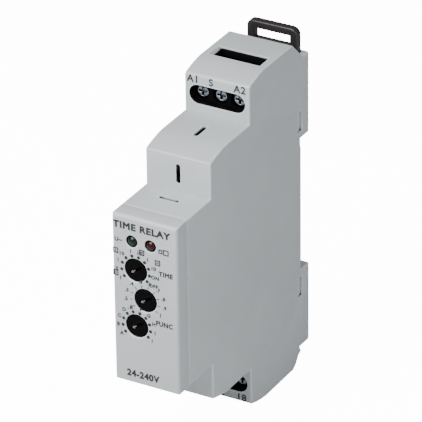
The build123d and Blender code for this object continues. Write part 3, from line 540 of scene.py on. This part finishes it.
def make_finishes():
    """One material for each slot of the record that keeps CAD shapes, and for the new pieces."""
    case = bpy.context.scene.rail_timer_case
    control = bpy.context.scene.rail_timer_controls
    terminal = bpy.context.scene.rail_timer_terminals
    rail = bpy.context.scene.rail_timer_rail
    inside = bpy.context.scene.rail_timer_inside
    plastic("case_plastic", case.case_colour, 0.52, case.grain)
    plastic("cap_plastic", case.cap_colour, 0.50, case.grain)
    plastic("latch_plastic", rail.latch_colour, 0.42, 3 * MICRON, 3800.0, 1.8)
    plastic("dial_plastic", control.knob_colour, 0.6, 2 * MICRON, 6000.0, 2.0, 0.05)
    plastic("pointer_plastic", control.pointer_colour, 0.5, 2 * MICRON)
    # terminal blocks: black plastic, made this dark partly as painted shade inside the terminal windows
    plastic("block_plastic", terminal.block_and_shade_colour, 0.6, 3 * MICRON, 4200.0, 1.4, 0.04)
    plastic("relay_moulding", (0.03, 0.03, 0.033), 0.45)
    plastic("relay_case_plastic", (0.018, 0.04, 0.10), 0.3, 2 * MICRON)
    plastic("sleeve_film", (0.012, 0.015, 0.04), 0.25, 1 * MICRON)
    plastic("core_ferrite", (0.02, 0.02, 0.021), 0.7, 8 * MICRON)
    plastic("film_box_resin", (0.55, 0.30, 0.02), 0.35)
    plastic("disc_lacquer", (0.01, 0.06, 0.28), 0.25)
    plastic("cement_coat", (0.22, 0.36, 0.26), 0.65, 9 * MICRON)
    plastic("chip_resin", (0.015, 0.015, 0.016), 0.6, 6 * MICRON)
    plastic("chip_ceramic", (0.30, 0.22, 0.13), 0.45)
    plastic("rotor_plastic", (0.62, 0.58, 0.48), 0.45)
    metal("plated_steel", terminal.plating, 0.28, (1.0, 1.0, 0.08))
    metal("tinned_copper", (0.72, 0.70, 0.62), 0.32)
    metal("spring_steel", (0.55, 0.56, 0.58), 0.25, (1.0, 1.0, 0.2))
    metal("relay_iron", (0.50, 0.50, 0.49), 0.35, (1.0, 1.0, 0.08))
    metal("contact_silver", (0.80, 0.72, 0.55), 0.28)
    lens("green_lens", control.green, middle("lamp_supply"), 1.45 * MM)
    lens("red_lens", control.red, middle("lamp_output"), 1.45 * MM)
    ink("print_ink", bpy.context.scene.rail_timer_print.ink_colour)
    circuit("circuit_resist", inside.board_colour)
    wound("relay_winding", inside.copper, inside.wire_size / 3, "Z")
    wound("copper_wire", inside.copper, inside.wire_size, "X")


CAD_FINISHES = {
    "housing": "case_plastic",
    "cap": "cap_plastic",
    "latch": "latch_plastic",
    "spring_steel": "spring_steel",
    "knob": "dial_plastic",
    "rotor": "rotor_plastic",
    "black_moulding": "block_plastic",
    "lamp_green": "green_lens",
    "lamp_red": "red_lens",
    "terminal_block": "block_plastic",
    "screw": "plated_steel",
    "cage": "plated_steel",
    "strap": "tinned_copper",
    "board": "circuit_resist",
    "relay_moulding": "relay_moulding",
    "relay_case": "relay_case_plastic",
    "relay_iron": "relay_iron",
    "winding": "relay_winding",
    "contact": "contact_silver",
    "capacitor_sleeve": "sleeve_film",
    "ferrite": "core_ferrite",
    "film_box": "film_box_resin",
    "varistor_coat": "disc_lacquer",
    "resistor_coat": "cement_coat",
    "chip": "chip_resin",
    "chip_part": "chip_ceramic",
}


# ------------------------------------------------------------------ mesh helpers
def show(name, mesh, finish, body, slot, *nodes):
    """Puts a finished mesh in the scene on its body, standing for its CAD nodes."""
    piece = bpy.data.objects.new(name, mesh)
    bpy.context.scene.collection.objects.link(piece)
    mesh.materials.clear()
    mesh.materials.append(bpy.data.materials[finish])
    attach(piece, body)
    if nodes:
        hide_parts(*nodes)
    return piece


def welded(node):
    """A joined-up copy of a CAD node's surface with flat areas merged."""
    shape = bmesh.new()
    shape.from_mesh(frame["nodes"][node].data)
    bmesh.ops.remove_doubles(shape, verts=shape.verts, dist=2 * MICRON)
    bmesh.ops.dissolve_limit(
        shape, angle_limit=math.radians(0.4), verts=shape.verts, edges=shape.edges
    )
    return shape


def as_mesh(shape, name, smooth_angle=32.0):
    """A mesh from a shape, smooth over gentle turns."""
    mesh = bpy.data.meshes.new(name)
    shape.to_mesh(mesh)
    shape.free()
    for label in ("custom_normal", "sharp_face"):
        if label in mesh.attributes:
            mesh.attributes.remove(mesh.attributes[label])
    mesh.shade_smooth()
    mesh.set_sharp_from_angle(angle=math.radians(smooth_angle))
    return mesh


def settled(holder, name):
    """The plain mesh of an object with its modifiers worked out; the object goes."""
    graph = bpy.context.evaluated_depsgraph_get()
    mesh = bpy.data.meshes.new_from_object(holder.evaluated_get(graph), depsgraph=graph)
    mesh.name = name
    holder.modifiers.clear()
    bpy.data.objects.remove(holder)
    return mesh


def rounded(shape, name, weigh, radius, segments=3, smooth_angle=32.0):
    """Rounds each edge by its weight times the radius; weigh gives an edge's weight."""
    layer = shape.edges.layers.float.new("bevel_weight_edge")
    for edge in shape.edges:
        edge[layer] = weigh(edge)
    mesh = as_mesh(shape, name, smooth_angle)
    holder = bpy.data.objects.new(name, mesh)
    bpy.context.scene.collection.objects.link(holder)
    bevel = holder.modifiers.new("rounding", "BEVEL")
    bevel.limit_method = "WEIGHT"
    bevel.width = radius
    bevel.segments = segments
    bevel.use_clamp_overlap = False
    bevel.miter_outer = "MITER_SHARP"
    bevel.harden_normals = False
    final = settled(holder, name)
    final.shade_smooth()
    final.set_sharp_from_angle(angle=math.radians(smooth_angle))
    return final


def turns_sharply(edge, least=25.0):
    """Whether an edge stands out by more than some degrees."""
    if len(edge.link_faces) != 2:
        return False
    return edge.is_convex and edge.calc_face_angle(0.0) > math.radians(least)


def soften(node, name, least, radius, finish, body, slot, segments=2, smooth_angle=32.0):
    """Shows a CAD piece with the edges rounded that turn by more than some degrees."""
    mesh = rounded(
        welded(node), name, lambda e: float(turns_sharply(e, least)), radius, segments, smooth_angle
    )
    return show(name, mesh, finish, body, slot, node)


# ------------------------------------------------------------------ geometry nodes
def geometry_tree(name, inputs):
    """An empty geometry node tree with named inputs, and its two ends."""
    tree = bpy.data.node_groups.new(name, "GeometryNodeTree")
    tree.interface.new_socket("Geometry", in_out="INPUT", socket_type="NodeSocketGeometry")
    for label, kind, value in inputs:
        socket = tree.interface.new_socket(label, in_out="INPUT", socket_type=kind)
        if value is not None:
            socket.default_value = value
    tree.interface.new_socket("Geometry", in_out="OUTPUT", socket_type="NodeSocketGeometry")
    return tree, tree.nodes.new("NodeGroupInput"), tree.nodes.new("NodeGroupOutput")


def wire_links(tree, *pairs):
    """Links pairs of sockets in a node tree."""
    for source, target in pairs:
        tree.links.new(source, target)


def close_tree(tree, start, end, geometry):
    """Ends a tree: makes instances real, sets the material and puts the result out."""
    real = tree.nodes.new("GeometryNodeRealizeInstances")
    finish = tree.nodes.new("GeometryNodeSetMaterial")
    wire_links(
        tree,
        (geometry, real.inputs["Geometry"]),
        (real.outputs["Geometry"], finish.inputs["Geometry"]),
        (start.outputs["Finish"], finish.inputs["Material"]),
        (finish.outputs["Geometry"], end.inputs["Geometry"]),
    )


def coil_tree():
    """A round wire wound into an open coil about an axis through a point."""
    tree, start, end = geometry_tree(
        "wound_coil",
        [
            ("Turns", "NodeSocketFloat", 9.0),
            ("Coil Radius", "NodeSocketFloat", 0.85 * MM),
            ("Coil Length", "NodeSocketFloat", 10 * MM),
            ("Wire Radius", "NodeSocketFloat", 0.15 * MM),
            ("Foot", "NodeSocketVector", (0, 0, 0)),
            ("Turn To", "NodeSocketVector", (0, 0, 0)),
            ("Points Per Turn", "NodeSocketInt", 24),
            ("Wire Sides", "NodeSocketInt", 10),
            ("Finish", "NodeSocketMaterial", None),
        ],
    )
    spiral = tree.nodes.new("GeometryNodeCurveSpiral")
    profile = tree.nodes.new("GeometryNodeCurvePrimitiveCircle")
    tube = tree.nodes.new("GeometryNodeCurveToMesh")
    tube.inputs["Fill Caps"].default_value = True
    place = tree.nodes.new("GeometryNodeTransform")
    smooth = tree.nodes.new("GeometryNodeSetShadeSmooth")
    wire_links(
        tree,
        (start.outputs["Points Per Turn"], spiral.inputs["Resolution"]),
        (start.outputs["Turns"], spiral.inputs["Rotations"]),
        (start.outputs["Coil Radius"], spiral.inputs["Start Radius"]),
        (start.outputs["Coil Radius"], spiral.inputs["End Radius"]),
        (start.outputs["Coil Length"], spiral.inputs["Height"]),
        (start.outputs["Wire Sides"], profile.inputs["Resolution"]),
        (start.outputs["Wire Radius"], profile.inputs["Radius"]),
        (spiral.outputs["Curve"], tube.inputs["Curve"]),
        (profile.outputs["Curve"], tube.inputs["Profile Curve"]),
        (tube.outputs["Mesh"], place.inputs["Geometry"]),
        (start.outputs["Foot"], place.inputs["Translation"]),
        (start.outputs["Turn To"], place.inputs["Rotation"]),
        (place.outputs["Geometry"], smooth.inputs["Geometry"]),
    )
    close_tree(tree, start, end, smooth.outputs["Geometry"])
    return tree


def scale_tree():
    """Marks round a dial, from its first angle to its last: dots or short lines."""
    tree, start, end = geometry_tree(
        "dial_scale",
        [
            ("Marks", "NodeSocketInt", DIAL_MARKS),
            ("First Angle", "NodeSocketFloat", DIAL_FIRST),
            ("Last Angle", "NodeSocketFloat", DIAL_LAST),
            ("Radius", "NodeSocketFloat", 4 * MM),
            ("Mark Length", "NodeSocketFloat", 0.6 * MM),
            ("Mark Width", "NodeSocketFloat", 0.6 * MM),
            ("Thickness", "NodeSocketFloat", 8 * MICRON),
            ("Round", "NodeSocketBool", True),
            ("Centre", "NodeSocketVector", (0, 0, 0)),
            ("Finish", "NodeSocketMaterial", None),
        ],
    )
    index = tree.nodes.new("GeometryNodeInputIndex").outputs[0]
    sweep = calc(tree, "SUBTRACT", start.outputs["Last Angle"], start.outputs["First Angle"])
    step = calc(tree, "DIVIDE", sweep, calc(tree, "SUBTRACT", start.outputs["Marks"], 1.0))
    turn = calc(tree, "ADD", start.outputs["First Angle"], calc(tree, "MULTIPLY", index, step))
    across = calc(tree, "MULTIPLY", calc(tree, "COSINE", turn), start.outputs["Radius"])
    upward = calc(tree, "MULTIPLY", calc(tree, "SINE", turn), start.outputs["Radius"])
    spot = tree.nodes.new("ShaderNodeCombineXYZ")
    lean = tree.nodes.new("ShaderNodeCombineXYZ")
    points = tree.nodes.new("GeometryNodePoints")
    dot = tree.nodes.new("GeometryNodeMeshCylinder")
    dot.inputs["Vertices"].default_value = 20
    dot_turned = tree.nodes.new("GeometryNodeTransform")
    dot_turned.inputs["Rotation"].default_value = (math.pi / 2, 0, 0)
    line = tree.nodes.new("GeometryNodeMeshCube")
    size = tree.nodes.new("ShaderNodeCombineXYZ")
    choose = tree.nodes.new("GeometryNodeSwitch")
    choose.input_type = "GEOMETRY"
    spread = tree.nodes.new("GeometryNodeInstanceOnPoints")
    place = tree.nodes.new("GeometryNodeTransform")
    wire_links(
        tree,
        (across, spot.inputs["X"]),
        (upward, spot.inputs["Z"]),
        (calc(tree, "MULTIPLY", turn, -1.0), lean.inputs["Y"]),
        (start.outputs["Marks"], points.inputs["Count"]),
        (spot.outputs["Vector"], points.inputs["Position"]),
        (calc(tree, "MULTIPLY", start.outputs["Mark Width"], 0.5), dot.inputs["Radius"]),
        (start.outputs["Thickness"], dot.inputs["Depth"]),
        (dot.outputs["Mesh"], dot_turned.inputs["Geometry"]),
        (start.outputs["Mark Length"], size.inputs["X"]),
        (start.outputs["Thickness"], size.inputs["Y"]),
        (start.outputs["Mark Width"], size.inputs["Z"]),
        (size.outputs["Vector"], line.inputs["Size"]),
        (start.outputs["Round"], choose.inputs["Switch"]),
        (line.outputs["Mesh"], choose.inputs["False"]),
        (dot_turned.outputs["Geometry"], choose.inputs["True"]),
        (points.outputs[0], spread.inputs["Points"]),
        (choose.outputs["Output"], spread.inputs["Instance"]),
        (lean.outputs["Vector"], spread.inputs["Rotation"]),
        (spread.outputs["Instances"], place.inputs["Geometry"]),
        (start.outputs["Centre"], place.inputs["Translation"]),
    )
    close_tree(tree, start, end, place.outputs["Geometry"])
    return tree


def grown(tree_name, name, **values):
    """The mesh that a geometry node tree makes with these inputs."""
    tree = bpy.data.node_groups[tree_name]
    holder = bpy.data.objects.new(name, bpy.data.meshes.new(name))
    bpy.context.scene.collection.objects.link(holder)
    modifier = holder.modifiers.new("shape", "NODES")
    modifier.node_group = tree
    sockets = {s.name: s.identifier for s in tree.interface.items_tree if s.in_out == "INPUT"}
    for label, value in values.items():
        modifier[sockets[label.replace("_", " ")]] = value
    return settled(holder, name)


# ------------------------------------------------------------------ lettering
FACING_FRONT = Matrix.Rotation(math.pi / 2, 4, "X")


def lettering(shape, words, centre, height, wide=None, bold=0.055):
    """Adds a line of print to a shape: middle at a point, capitals of a height, facing forward."""
    thick = bpy.context.scene.rail_timer_print.ink_thick
    curve = bpy.data.curves.new("line_of_print", "FONT")
    curve.body = words
    curve.extrude = 0.5
    curve.bevel_depth = bold
    curve.bevel_resolution = 0
    curve.resolution_u = 4
    curve.space_character = 1.12
    holder = bpy.data.objects.new("line_of_print", curve)
    bpy.context.scene.collection.objects.link(holder)
    mesh = settled(holder, "line_of_print")
    bpy.data.curves.remove(curve)
    xs = [v.co.x for v in mesh.vertices]
    ys = [v.co.y for v in mesh.vertices]
    tall = max(ys) - min(ys)
    stretch_y = height / tall
    stretch_x = wide / (max(xs) - min(xs)) if wide else stretch_y
    to_middle = Matrix.Translation((-(max(xs) + min(xs)) / 2, -(max(ys) + min(ys)) / 2, 0))
    sized = Matrix.Diagonal((stretch_x, stretch_y, thick, 1))
    mesh.transform(Matrix.Translation(centre) @ FACING_FRONT @ sized @ to_middle)
    shape.from_mesh(mesh)
    bpy.data.meshes.remove(mesh)


def bar(shape, low, high):
    """Adds a thin printed bar between two corners."""
    made = bmesh.ops.create_cube(shape, size=1.0)
    low, high = Vector(low), Vector(high)
    for vert in made["verts"]:
        vert.co = (low + high) / 2 + Vector(a * b for a, b in zip(vert.co, high - low))


def box_symbol(shape, centre, size, line, thick):
    """Adds a printed square outline."""
    x, y, z = centre
    half = size / 2
    back, front = y - thick / 2, y + thick / 2
    for side in (-1, 1):
        edge = side * (half - line / 2)
        bar(shape, (x + edge - line / 2, back, z - half), (x + edge + line / 2, front, z + half))
        bar(shape, (x - half, back, z + edge - line / 2), (x + half, front, z + edge + line / 2))


# ------------------------------------------------------------------ operators
class RAILTIMER_OT_finishes(bpy.types.Operator):
    """Builds the shader groups and every material, and gives the CAD parts theirs"""

    bl_idname = "rail_timer.finishes"
    bl_label = "Finishes"

    def execute(self, context):
        moulding_group()
        edge_group()
        crevice_group()
        brushed_group()
        make_finishes()
        for row in frame["record"]["subparts"]:
            mesh = frame["nodes"][row["node"]].data
            mesh.materials.clear()
            mesh.materials.append(bpy.data.materials[CAD_FINISHES[row["material_slot"]]])
        return {"FINISHED"}


class RAILTIMER_OT_case(bpy.types.Operator):
    """Makes the housing, side cover and front cap with rounded edges"""

    bl_idname = "rail_timer.case"
    bl_label = "Case"

    def execute(self, context):
        settings = context.scene.rail_timer_case
        low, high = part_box("housing_shell")
        wall_reach = 1.25 * MM
        nearly_all = 0.98
        rim_share = settings.rim_round / settings.edge_round

        def on_side(edge):
            """The side plane that an edge lies in: -1, 1, or 0 for neither."""
            for side, plane in ((-1, low.x), (1, high.x)):
                if all(abs(v.co.x - plane) < ON_PLANE for v in edge.verts):
                    return side
            return 0

        def outline_weight(edge):
            if not turns_sharply(edge, 12.0):
                return 0.0
            side = on_side(edge)
            if side:
                cross = min(edge.link_faces, key=lambda f: abs(f.normal.x))
                plane = low.x if side < 0 else high.x
                depth = max(abs(v.co.x - plane) for v in cross.verts)
                return 1.0 if depth > wall_reach else rim_share * 0.7
            across = abs(edge.verts[0].co.x - edge.verts[1].co.x)
            full_width = across > nearly_all * (high.x - low.x)
            at_mouth = all(abs(v.co.y - low.y) < ON_PLANE for v in edge.verts)
            if full_width and not at_mouth and edge.verts[0].co.y < 0.0:
                return 1.0
            return rim_share if full_width or at_mouth else 0.0

        shell = rounded(welded("housing_shell"), "case_shell", outline_weight, settings.edge_round)
        show("case_shell", shell, "case_plastic", "case", "housing", "housing_shell")

        def thin_rim(edge):
            return 1.0 if turns_sharply(edge) and on_side(edge) else 0.0

        cover = rounded(welded("side_cover"), "case_cover", thin_rim, settings.rim_round, 2)
        show("case_cover", cover, "case_plastic", "case", "housing", "side_cover")

        soften("front_cap", "case_cap", 50.0, settings.rim_round * 0.7, "cap_plastic", "case", "cap")
        return {"FINISHED"}


class RAILTIMER_OT_printing(bpy.types.Operator):
    """Prints the scales, symbols and terminal numbers on the case"""

    bl_idname = "rail_timer.printing"
    bl_label = "Printing"

    def execute(self, context):
        settings = context.scene.rail_timer_print
        face_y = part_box("front_cap")[0].y - settings.ink_thick / 2
        labels = {
            "range": ("1", "10", "1", "10", "1", "10", "1", "10", "ON", "OFF"),
            "time": (".1", ".2", ".3", ".4", ".5", ".6", ".7", ".8", ".9", "1"),
            "function": ("A", "B", "C", "D", "E", "F", "G", "H", "I", "J"),
        }
        for dial in DIALS:
            centre = middle(f"knob_{dial}")
            dots = dial != "time"
            marks = grown(
                "dial_scale", f"scale_{dial}", Marks=DIAL_MARKS,
                First_Angle=DIAL_FIRST, Last_Angle=DIAL_LAST,
                Radius=settings.mark_radius - (0 if dots else 0.05 * MM),
                Mark_Length=0.8 * MM, Mark_Width=settings.dot_size if dots else 0.22 * MM,
                Thickness=settings.ink_thick, Round=dots, Centre=(centre.x, face_y, centre.z),
                Finish=bpy.data.materials["print_ink"],
            )
            show(f"scale_{dial}", marks, "print_ink", "case", "cap")
            print_shape = bmesh.new()
            for order, words in enumerate(labels[dial]):
                turn = DIAL_FIRST + (DIAL_LAST - DIAL_FIRST) * order / (DIAL_MARKS - 1)
                reach = settings.label_radius + (0.15 * MM if len(words) > 2 else 0)
                across, upward = math.cos(turn), math.sin(turn)
                spot = Vector((centre.x + reach * across, face_y, centre.z + reach * upward))
                if len(words) > 1 and abs(across) > 0.5:
                    spot.x += math.copysign((len(words) - 1) * 0.28 * MM, across)
                lettering(print_shape, words, spot, settings.label_height)
            show(f"labels_{dial}", as_mesh(print_shape, f"labels_{dial}"), "print_ink", "case", "cap")

        line, box = 0.3 * MM, 1.5 * MM
        titles = bmesh.new()
        for words, x, z, height, wide in TITLES:
            lettering(titles, words, (x * MM, face_y, z * MM), height * MM, wide * MM)
        for letter, x, z in BOXED_LETTERS:
            box_symbol(titles, (x * MM, face_y, z * MM), box, line, settings.ink_thick)
            lettering(titles, letter, (x * MM, face_y, z * MM), 0.72 * MM)
        relay_x, relay_z = 4.95 * MM, 15.35 * MM
        box_symbol(titles, (relay_x + 0.9 * MM, face_y, relay_z), box, line, settings.ink_thick)
        box_symbol(titles, (relay_x - 0.55 * MM, face_y, relay_z), 1.1 * MM, line, settings.ink_thick)
        show("front_titles", as_mesh(titles, "front_titles"), "print_ink", "case", "cap")

        tier_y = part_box("upper_terminal_block")[0].y - 0.2 * MM - settings.ink_thick / 2
        numbers = bmesh.new()
        for marks, z in ((UPPER_NUMBERS, 42.2), (LOWER_NUMBERS, -42.2)):
            for words, x in marks:
                lettering(numbers, words, (x * MM, tier_y, z * MM), 1.95 * MM, bold=0.03)
        show("terminal_numbers", as_mesh(numbers, "terminal_numbers"), "print_ink", "case", "housing")
        return {"FINISHED"}


class RAILTIMER_OT_dials(bpy.types.Operator):
    """Makes the three black dials and the light arrows let into them"""

    bl_idname = "rail_timer.dials"
    bl_label = "Dials"

    def execute(self, context):
        for dial in DIALS:
            soften(f"knob_{dial}", f"dial_{dial}", 30.0, 0.05 * MM, "dial_plastic", f"dial_{dial}", "knob")
            self.arrow(dial)
        return {"FINISHED"}

    def arrow(self, dial):
        """The arrow head and its short tail, a little below the dial's face."""
        low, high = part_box(f"knob_{dial}")
        centre = (low + high) / 2
        ahead = Vector((math.cos(DIAL_FIRST), 0, math.sin(DIAL_FIRST)))
        beside = Vector((-ahead.z, 0, ahead.x))
        shape = bmesh.new()
        front = Vector((centre.x, low.y + 0.12 * MM, centre.z))
        verts = [shape.verts.new(front + (ahead * a + beside * b) * MM) for a, b in ARROW]
        face = shape.faces.new(verts)
        face.normal_update()
        if face.normal.y > 0:
            face.normal_flip()
        deep = bmesh.ops.extrude_face_region(shape, geom=[face], use_keep_orig=True)
        moved = [v for v in deep["geom"] if isinstance(v, bmesh.types.BMVert)]
        bmesh.ops.translate(shape, verts=moved, vec=(0, 0.5 * MM, 0))
        bmesh.ops.recalc_face_normals(shape, faces=shape.faces)
        mesh = rounded(shape, f"arrow_{dial}", lambda e: float(turns_sharply(e, 30.0)), 0.04 * MM, 2)
        show(f"arrow_{dial}", mesh, "pointer_plastic", f"dial_{dial}", "rotor")


class RAILTIMER_OT_lamps(bpy.types.Operator):
    """Makes the two indicator lamps with domed lenses and tinned leads"""

    bl_idname = "rail_timer.lamps"
    bl_label = "Lamps"

    def execute(self, context):
        finishes = {"supply": ("green_lens", "lamp_green"), "output": ("red_lens", "lamp_red")}
        lens_depth = 4.35 * MM
        for lamp, (finish, slot) in finishes.items():
            mesh = as_mesh(welded(f"lamp_{lamp}"), f"lamp_{lamp}_lens", 40.0)
            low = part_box(f"lamp_{lamp}")[0]
            piece = show(f"lamp_{lamp}_lens", mesh, finish, "case", slot, f"lamp_{lamp}")
            mesh.materials.append(bpy.data.materials["tinned_copper"])
            for face in mesh.polygons:
                if face.center.y > low.y + lens_depth:
                    face.material_index = 1
            piece.data.update()
        return {"FINISHED"}


class RAILTIMER_OT_terminals(bpy.types.Operator):
    """Makes the terminal screws with cross recesses and threads, and softens the cages and blocks"""

    bl_idname = "rail_timer.terminals"
    bl_label = "Terminals"

    def execute(self, context):
        pitch = context.scene.rail_timer_terminals.thread_pitch
        head_depth, bare_tip = 1.5 * MM, 1.2 * MM
        for pole in POLES_ABOVE + POLES_BELOW:
            low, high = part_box(f"screw_{pole}")
            screw = f"screw_{pole}"
            soften(screw, f"screw_head_{pole}", 20.0, 0.11 * MM, "plated_steel", screw, "screw", 3, 40.0)
            centre = (low + high) / 2
            thread_length = high.y - low.y - head_depth - bare_tip
            thread = grown(
                "wound_coil", f"screw_thread_{pole}", Turns=thread_length / pitch, Coil_Radius=1.2 * MM,
                Coil_Length=thread_length, Wire_Radius=0.08 * MM,
                Foot=(centre.x, high.y - 0.1 * MM, centre.z), Turn_To=(math.pi / 2, 0, 0),
                Points_Per_Turn=24, Wire_Sides=4, Finish=bpy.data.materials["plated_steel"],
            )
            show(f"screw_thread_{pole}", thread, "plated_steel", f"screw_{pole}", "screw")
            cage = f"cage_{pole}"
            soften(cage, f"cage_box_{pole}", 60.0, 0.12 * MM, "plated_steel", cage, "cage")
        for level in ("upper", "lower"):
            node = f"{level}_terminal_block"
            soften(node, f"{level}_block", 60.0, 0.08 * MM, "block_plastic", "case", "terminal_block")
        return {"FINISHED"}


class RAILTIMER_OT_latch(bpy.types.Operator):
    """Makes the sliding rail latch and the spring that it works against"""

    bl_idname = "rail_timer.latch"
    bl_label = "Rail latch"

    def execute(self, context):
        settings = context.scene.rail_timer_rail
        soften("rail_latch", "latch_slider", 30.0, 0.12 * MM, "latch_plastic", "latch", "latch", 3, 40.0)
        low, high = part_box("latch_spring")
        wire = settings.spring_wire / 2
        spring = grown(
            "wound_coil", "latch_coil", Turns=float(settings.spring_turns),
            Coil_Radius=(high.x - low.x) / 2 - wire, Coil_Length=high.z - low.z - 2 * wire, Wire_Radius=wire,
            Foot=((low.x + high.x) / 2, (low.y + high.y) / 2, low.z + wire),
            Finish=bpy.data.materials["spring_steel"],
        )
        piece = show("latch_coil", spring, "spring_steel", "case", "spring_steel", "latch_spring")
        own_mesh(piece)
        return {"FINISHED"}


class RAILTIMER_OT_windings(bpy.types.Operator):
    """Winds the choke's wire over its core"""

    bl_idname = "rail_timer.windings"
    bl_label = "Windings"

    def execute(self, context):
        wire = context.scene.rail_timer_inside.wire_size / 2
        low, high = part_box("choke")
        flange_rise, body_length, flange_thick, window = 0.5 * MM, 8.0 * MM, 1.7 * MM, 4.6 * MM
        core_radius = (high.z - low.z) / 2 - flange_rise
        start_x = high.x - body_length + flange_thick + wire
        run = window - 2 * wire
        winding = grown(
            "wound_coil", "choke_winding", Turns=run / (2.05 * wire), Coil_Radius=core_radius + wire * 0.6,
            Coil_Length=run, Wire_Radius=wire, Foot=(start_x, (low.y + high.y) / 2, (low.z + high.z) / 2),
            Turn_To=(0, math.pi / 2, 0), Points_Per_Turn=40, Wire_Sides=8,
            Finish=bpy.data.materials["copper_wire"],
        )
        show("choke_winding", winding, "copper_wire", "case", "winding")
        return {"FINISHED"}


class RAILTIMER_OT_stage(bpy.types.Operator):
    """Makes the pale floor, the soft lights and the camera"""

    bl_idname = "rail_timer.stage"
    bl_label = "Stage"

    def execute(self, context):
        settings = context.scene.rail_timer_stage
        self.floor(settings)
        self.lights(context, settings)
        self.camera(context, settings)
        return {"FINISHED"}

    def floor(self, settings):
        """A wide floor just under the object."""
        shape = bmesh.new()
        bmesh.ops.create_grid(shape, x_segments=8, y_segments=8, size=3.0)
        bmesh.ops.translate(shape, verts=shape.verts, vec=(0, 0, CAD_LOW.z - 0.2 * MM))
        mesh = as_mesh(shape, "studio_floor")
        mesh.materials.append(floor_finish("floor_paint", settings.floor_colour, settings.floor_glow))
        floor = bpy.data.objects.new("studio_floor", mesh)
        bpy.context.scene.collection.objects.link(floor)

    def lights(self, context, settings):
        """A soft key from the front and above, a fill from the right, and even room light."""
        centre = (CAD_LOW + CAD_HIGH) / 2
        lamps = (
            ("key_light", Vector((-0.06, -0.22, 0.24)), 0.26, settings.key_power, (1.0, 1.0, 1.0)),
            ("fill_light", Vector((1.1, -0.3, 0.5)), 0.8, settings.fill_power, (0.93, 0.97, 1.0)),
        )
        for name, offset, size, power, tint in lamps:
            light = bpy.data.lights.new(name, "AREA")
            light.shape = "DISK"
            light.size = size
            light.energy = power
            light.color = tint
            lamp = bpy.data.objects.new(name, light)
            lamp.location = centre + offset
            lamp.rotation_euler = (-offset).to_track_quat("-Z", "Y").to_euler()
            context.scene.collection.objects.link(lamp)
        world = bpy.data.worlds.new("studio_room")
        world.use_nodes = True
        background = world.node_tree.nodes["Background"]
        background.inputs["Color"].default_value = (0.95, 0.975, 1.0, 1.0)
        background.inputs["Strength"].default_value = settings.sky
        context.scene.world = world

    def camera(self, context, settings):
        """A long lens, from the front right and above."""
        flat = Vector((math.sin(settings.azimuth), -math.cos(settings.azimuth), 0))
        back = flat * math.cos(settings.elevation) + Vector((0, 0, math.sin(settings.elevation)))
        level = Vector((math.cos(settings.azimuth), math.sin(settings.azimuth), 0))
        upright = back.cross(level)
        right = level * math.cos(settings.roll) + upright * math.sin(settings.roll)
        up = upright * math.cos(settings.roll) - level * math.sin(settings.roll)
        aim = Vector((0, -28.0 * MM, 0)) + right * (-0.77 * MM) + up * (8.11 * MM)
        data = bpy.data.cameras.new("camera")
        data.sensor_width = 36.0
        data.lens = settings.lens
        data.clip_start = 0.05
        data.clip_end = 20.0
        camera = bpy.data.objects.new("camera", data)
        turn = Matrix((right, up, back)).transposed().to_4x4()
        camera.matrix_world = Matrix.Translation(aim + back * settings.distance) @ turn
        context.scene.collection.objects.link(camera)
        context.scene.camera = camera


OPERATORS = (
    RAILTIMER_OT_finishes,
    RAILTIMER_OT_case,
    RAILTIMER_OT_printing,
    RAILTIMER_OT_dials,
    RAILTIMER_OT_lamps,
    RAILTIMER_OT_terminals,
    RAILTIMER_OT_latch,
    RAILTIMER_OT_windings,
    RAILTIMER_OT_stage,
)


class RAILTIMER_PT_panel(bpy.types.Panel):
    """The steps that make the timer, in order"""

    bl_idname = "RAILTIMER_PT_panel"
    bl_label = "Rail Timer"
    bl_space_type = "VIEW_3D"
    bl_region_type = "UI"
    bl_category = "Rail Timer"

    def draw(self, context):
        for operator in OPERATORS:
            self.layout.operator(operator.bl_idname)
        for name, group in SETTINGS.items():
            box = self.layout.box()
            for label in group.__annotations__:
                box.prop(getattr(context.scene, name), label)


def register():
    """Registers the settings, the operators and the panel."""
    for name, group in SETTINGS.items():
        bpy.utils.register_class(group)
        setattr(bpy.types.Scene, name, bpy.props.PointerProperty(type=group))
    for operator in OPERATORS:
        bpy.utils.register_class(operator)
    bpy.utils.register_class(RAILTIMER_PT_panel)


def unregister():
    """Takes the panel, the operators and the settings out again."""
    bpy.utils.unregister_class(RAILTIMER_PT_panel)
    for operator in reversed(OPERATORS):
        bpy.utils.unregister_class(operator)
    for name, group in SETTINGS.items():
        delattr(bpy.types.Scene, name)
        bpy.utils.unregister_class(group)


def main():
    """Makes everything in order."""
    register()
    coil_tree()
    scale_tree()
    for operator in OPERATORS:
        family, step = operator.bl_idname.split(".")
        getattr(getattr(bpy.ops, family), step)()


if __name__ == "__main__":
    main()
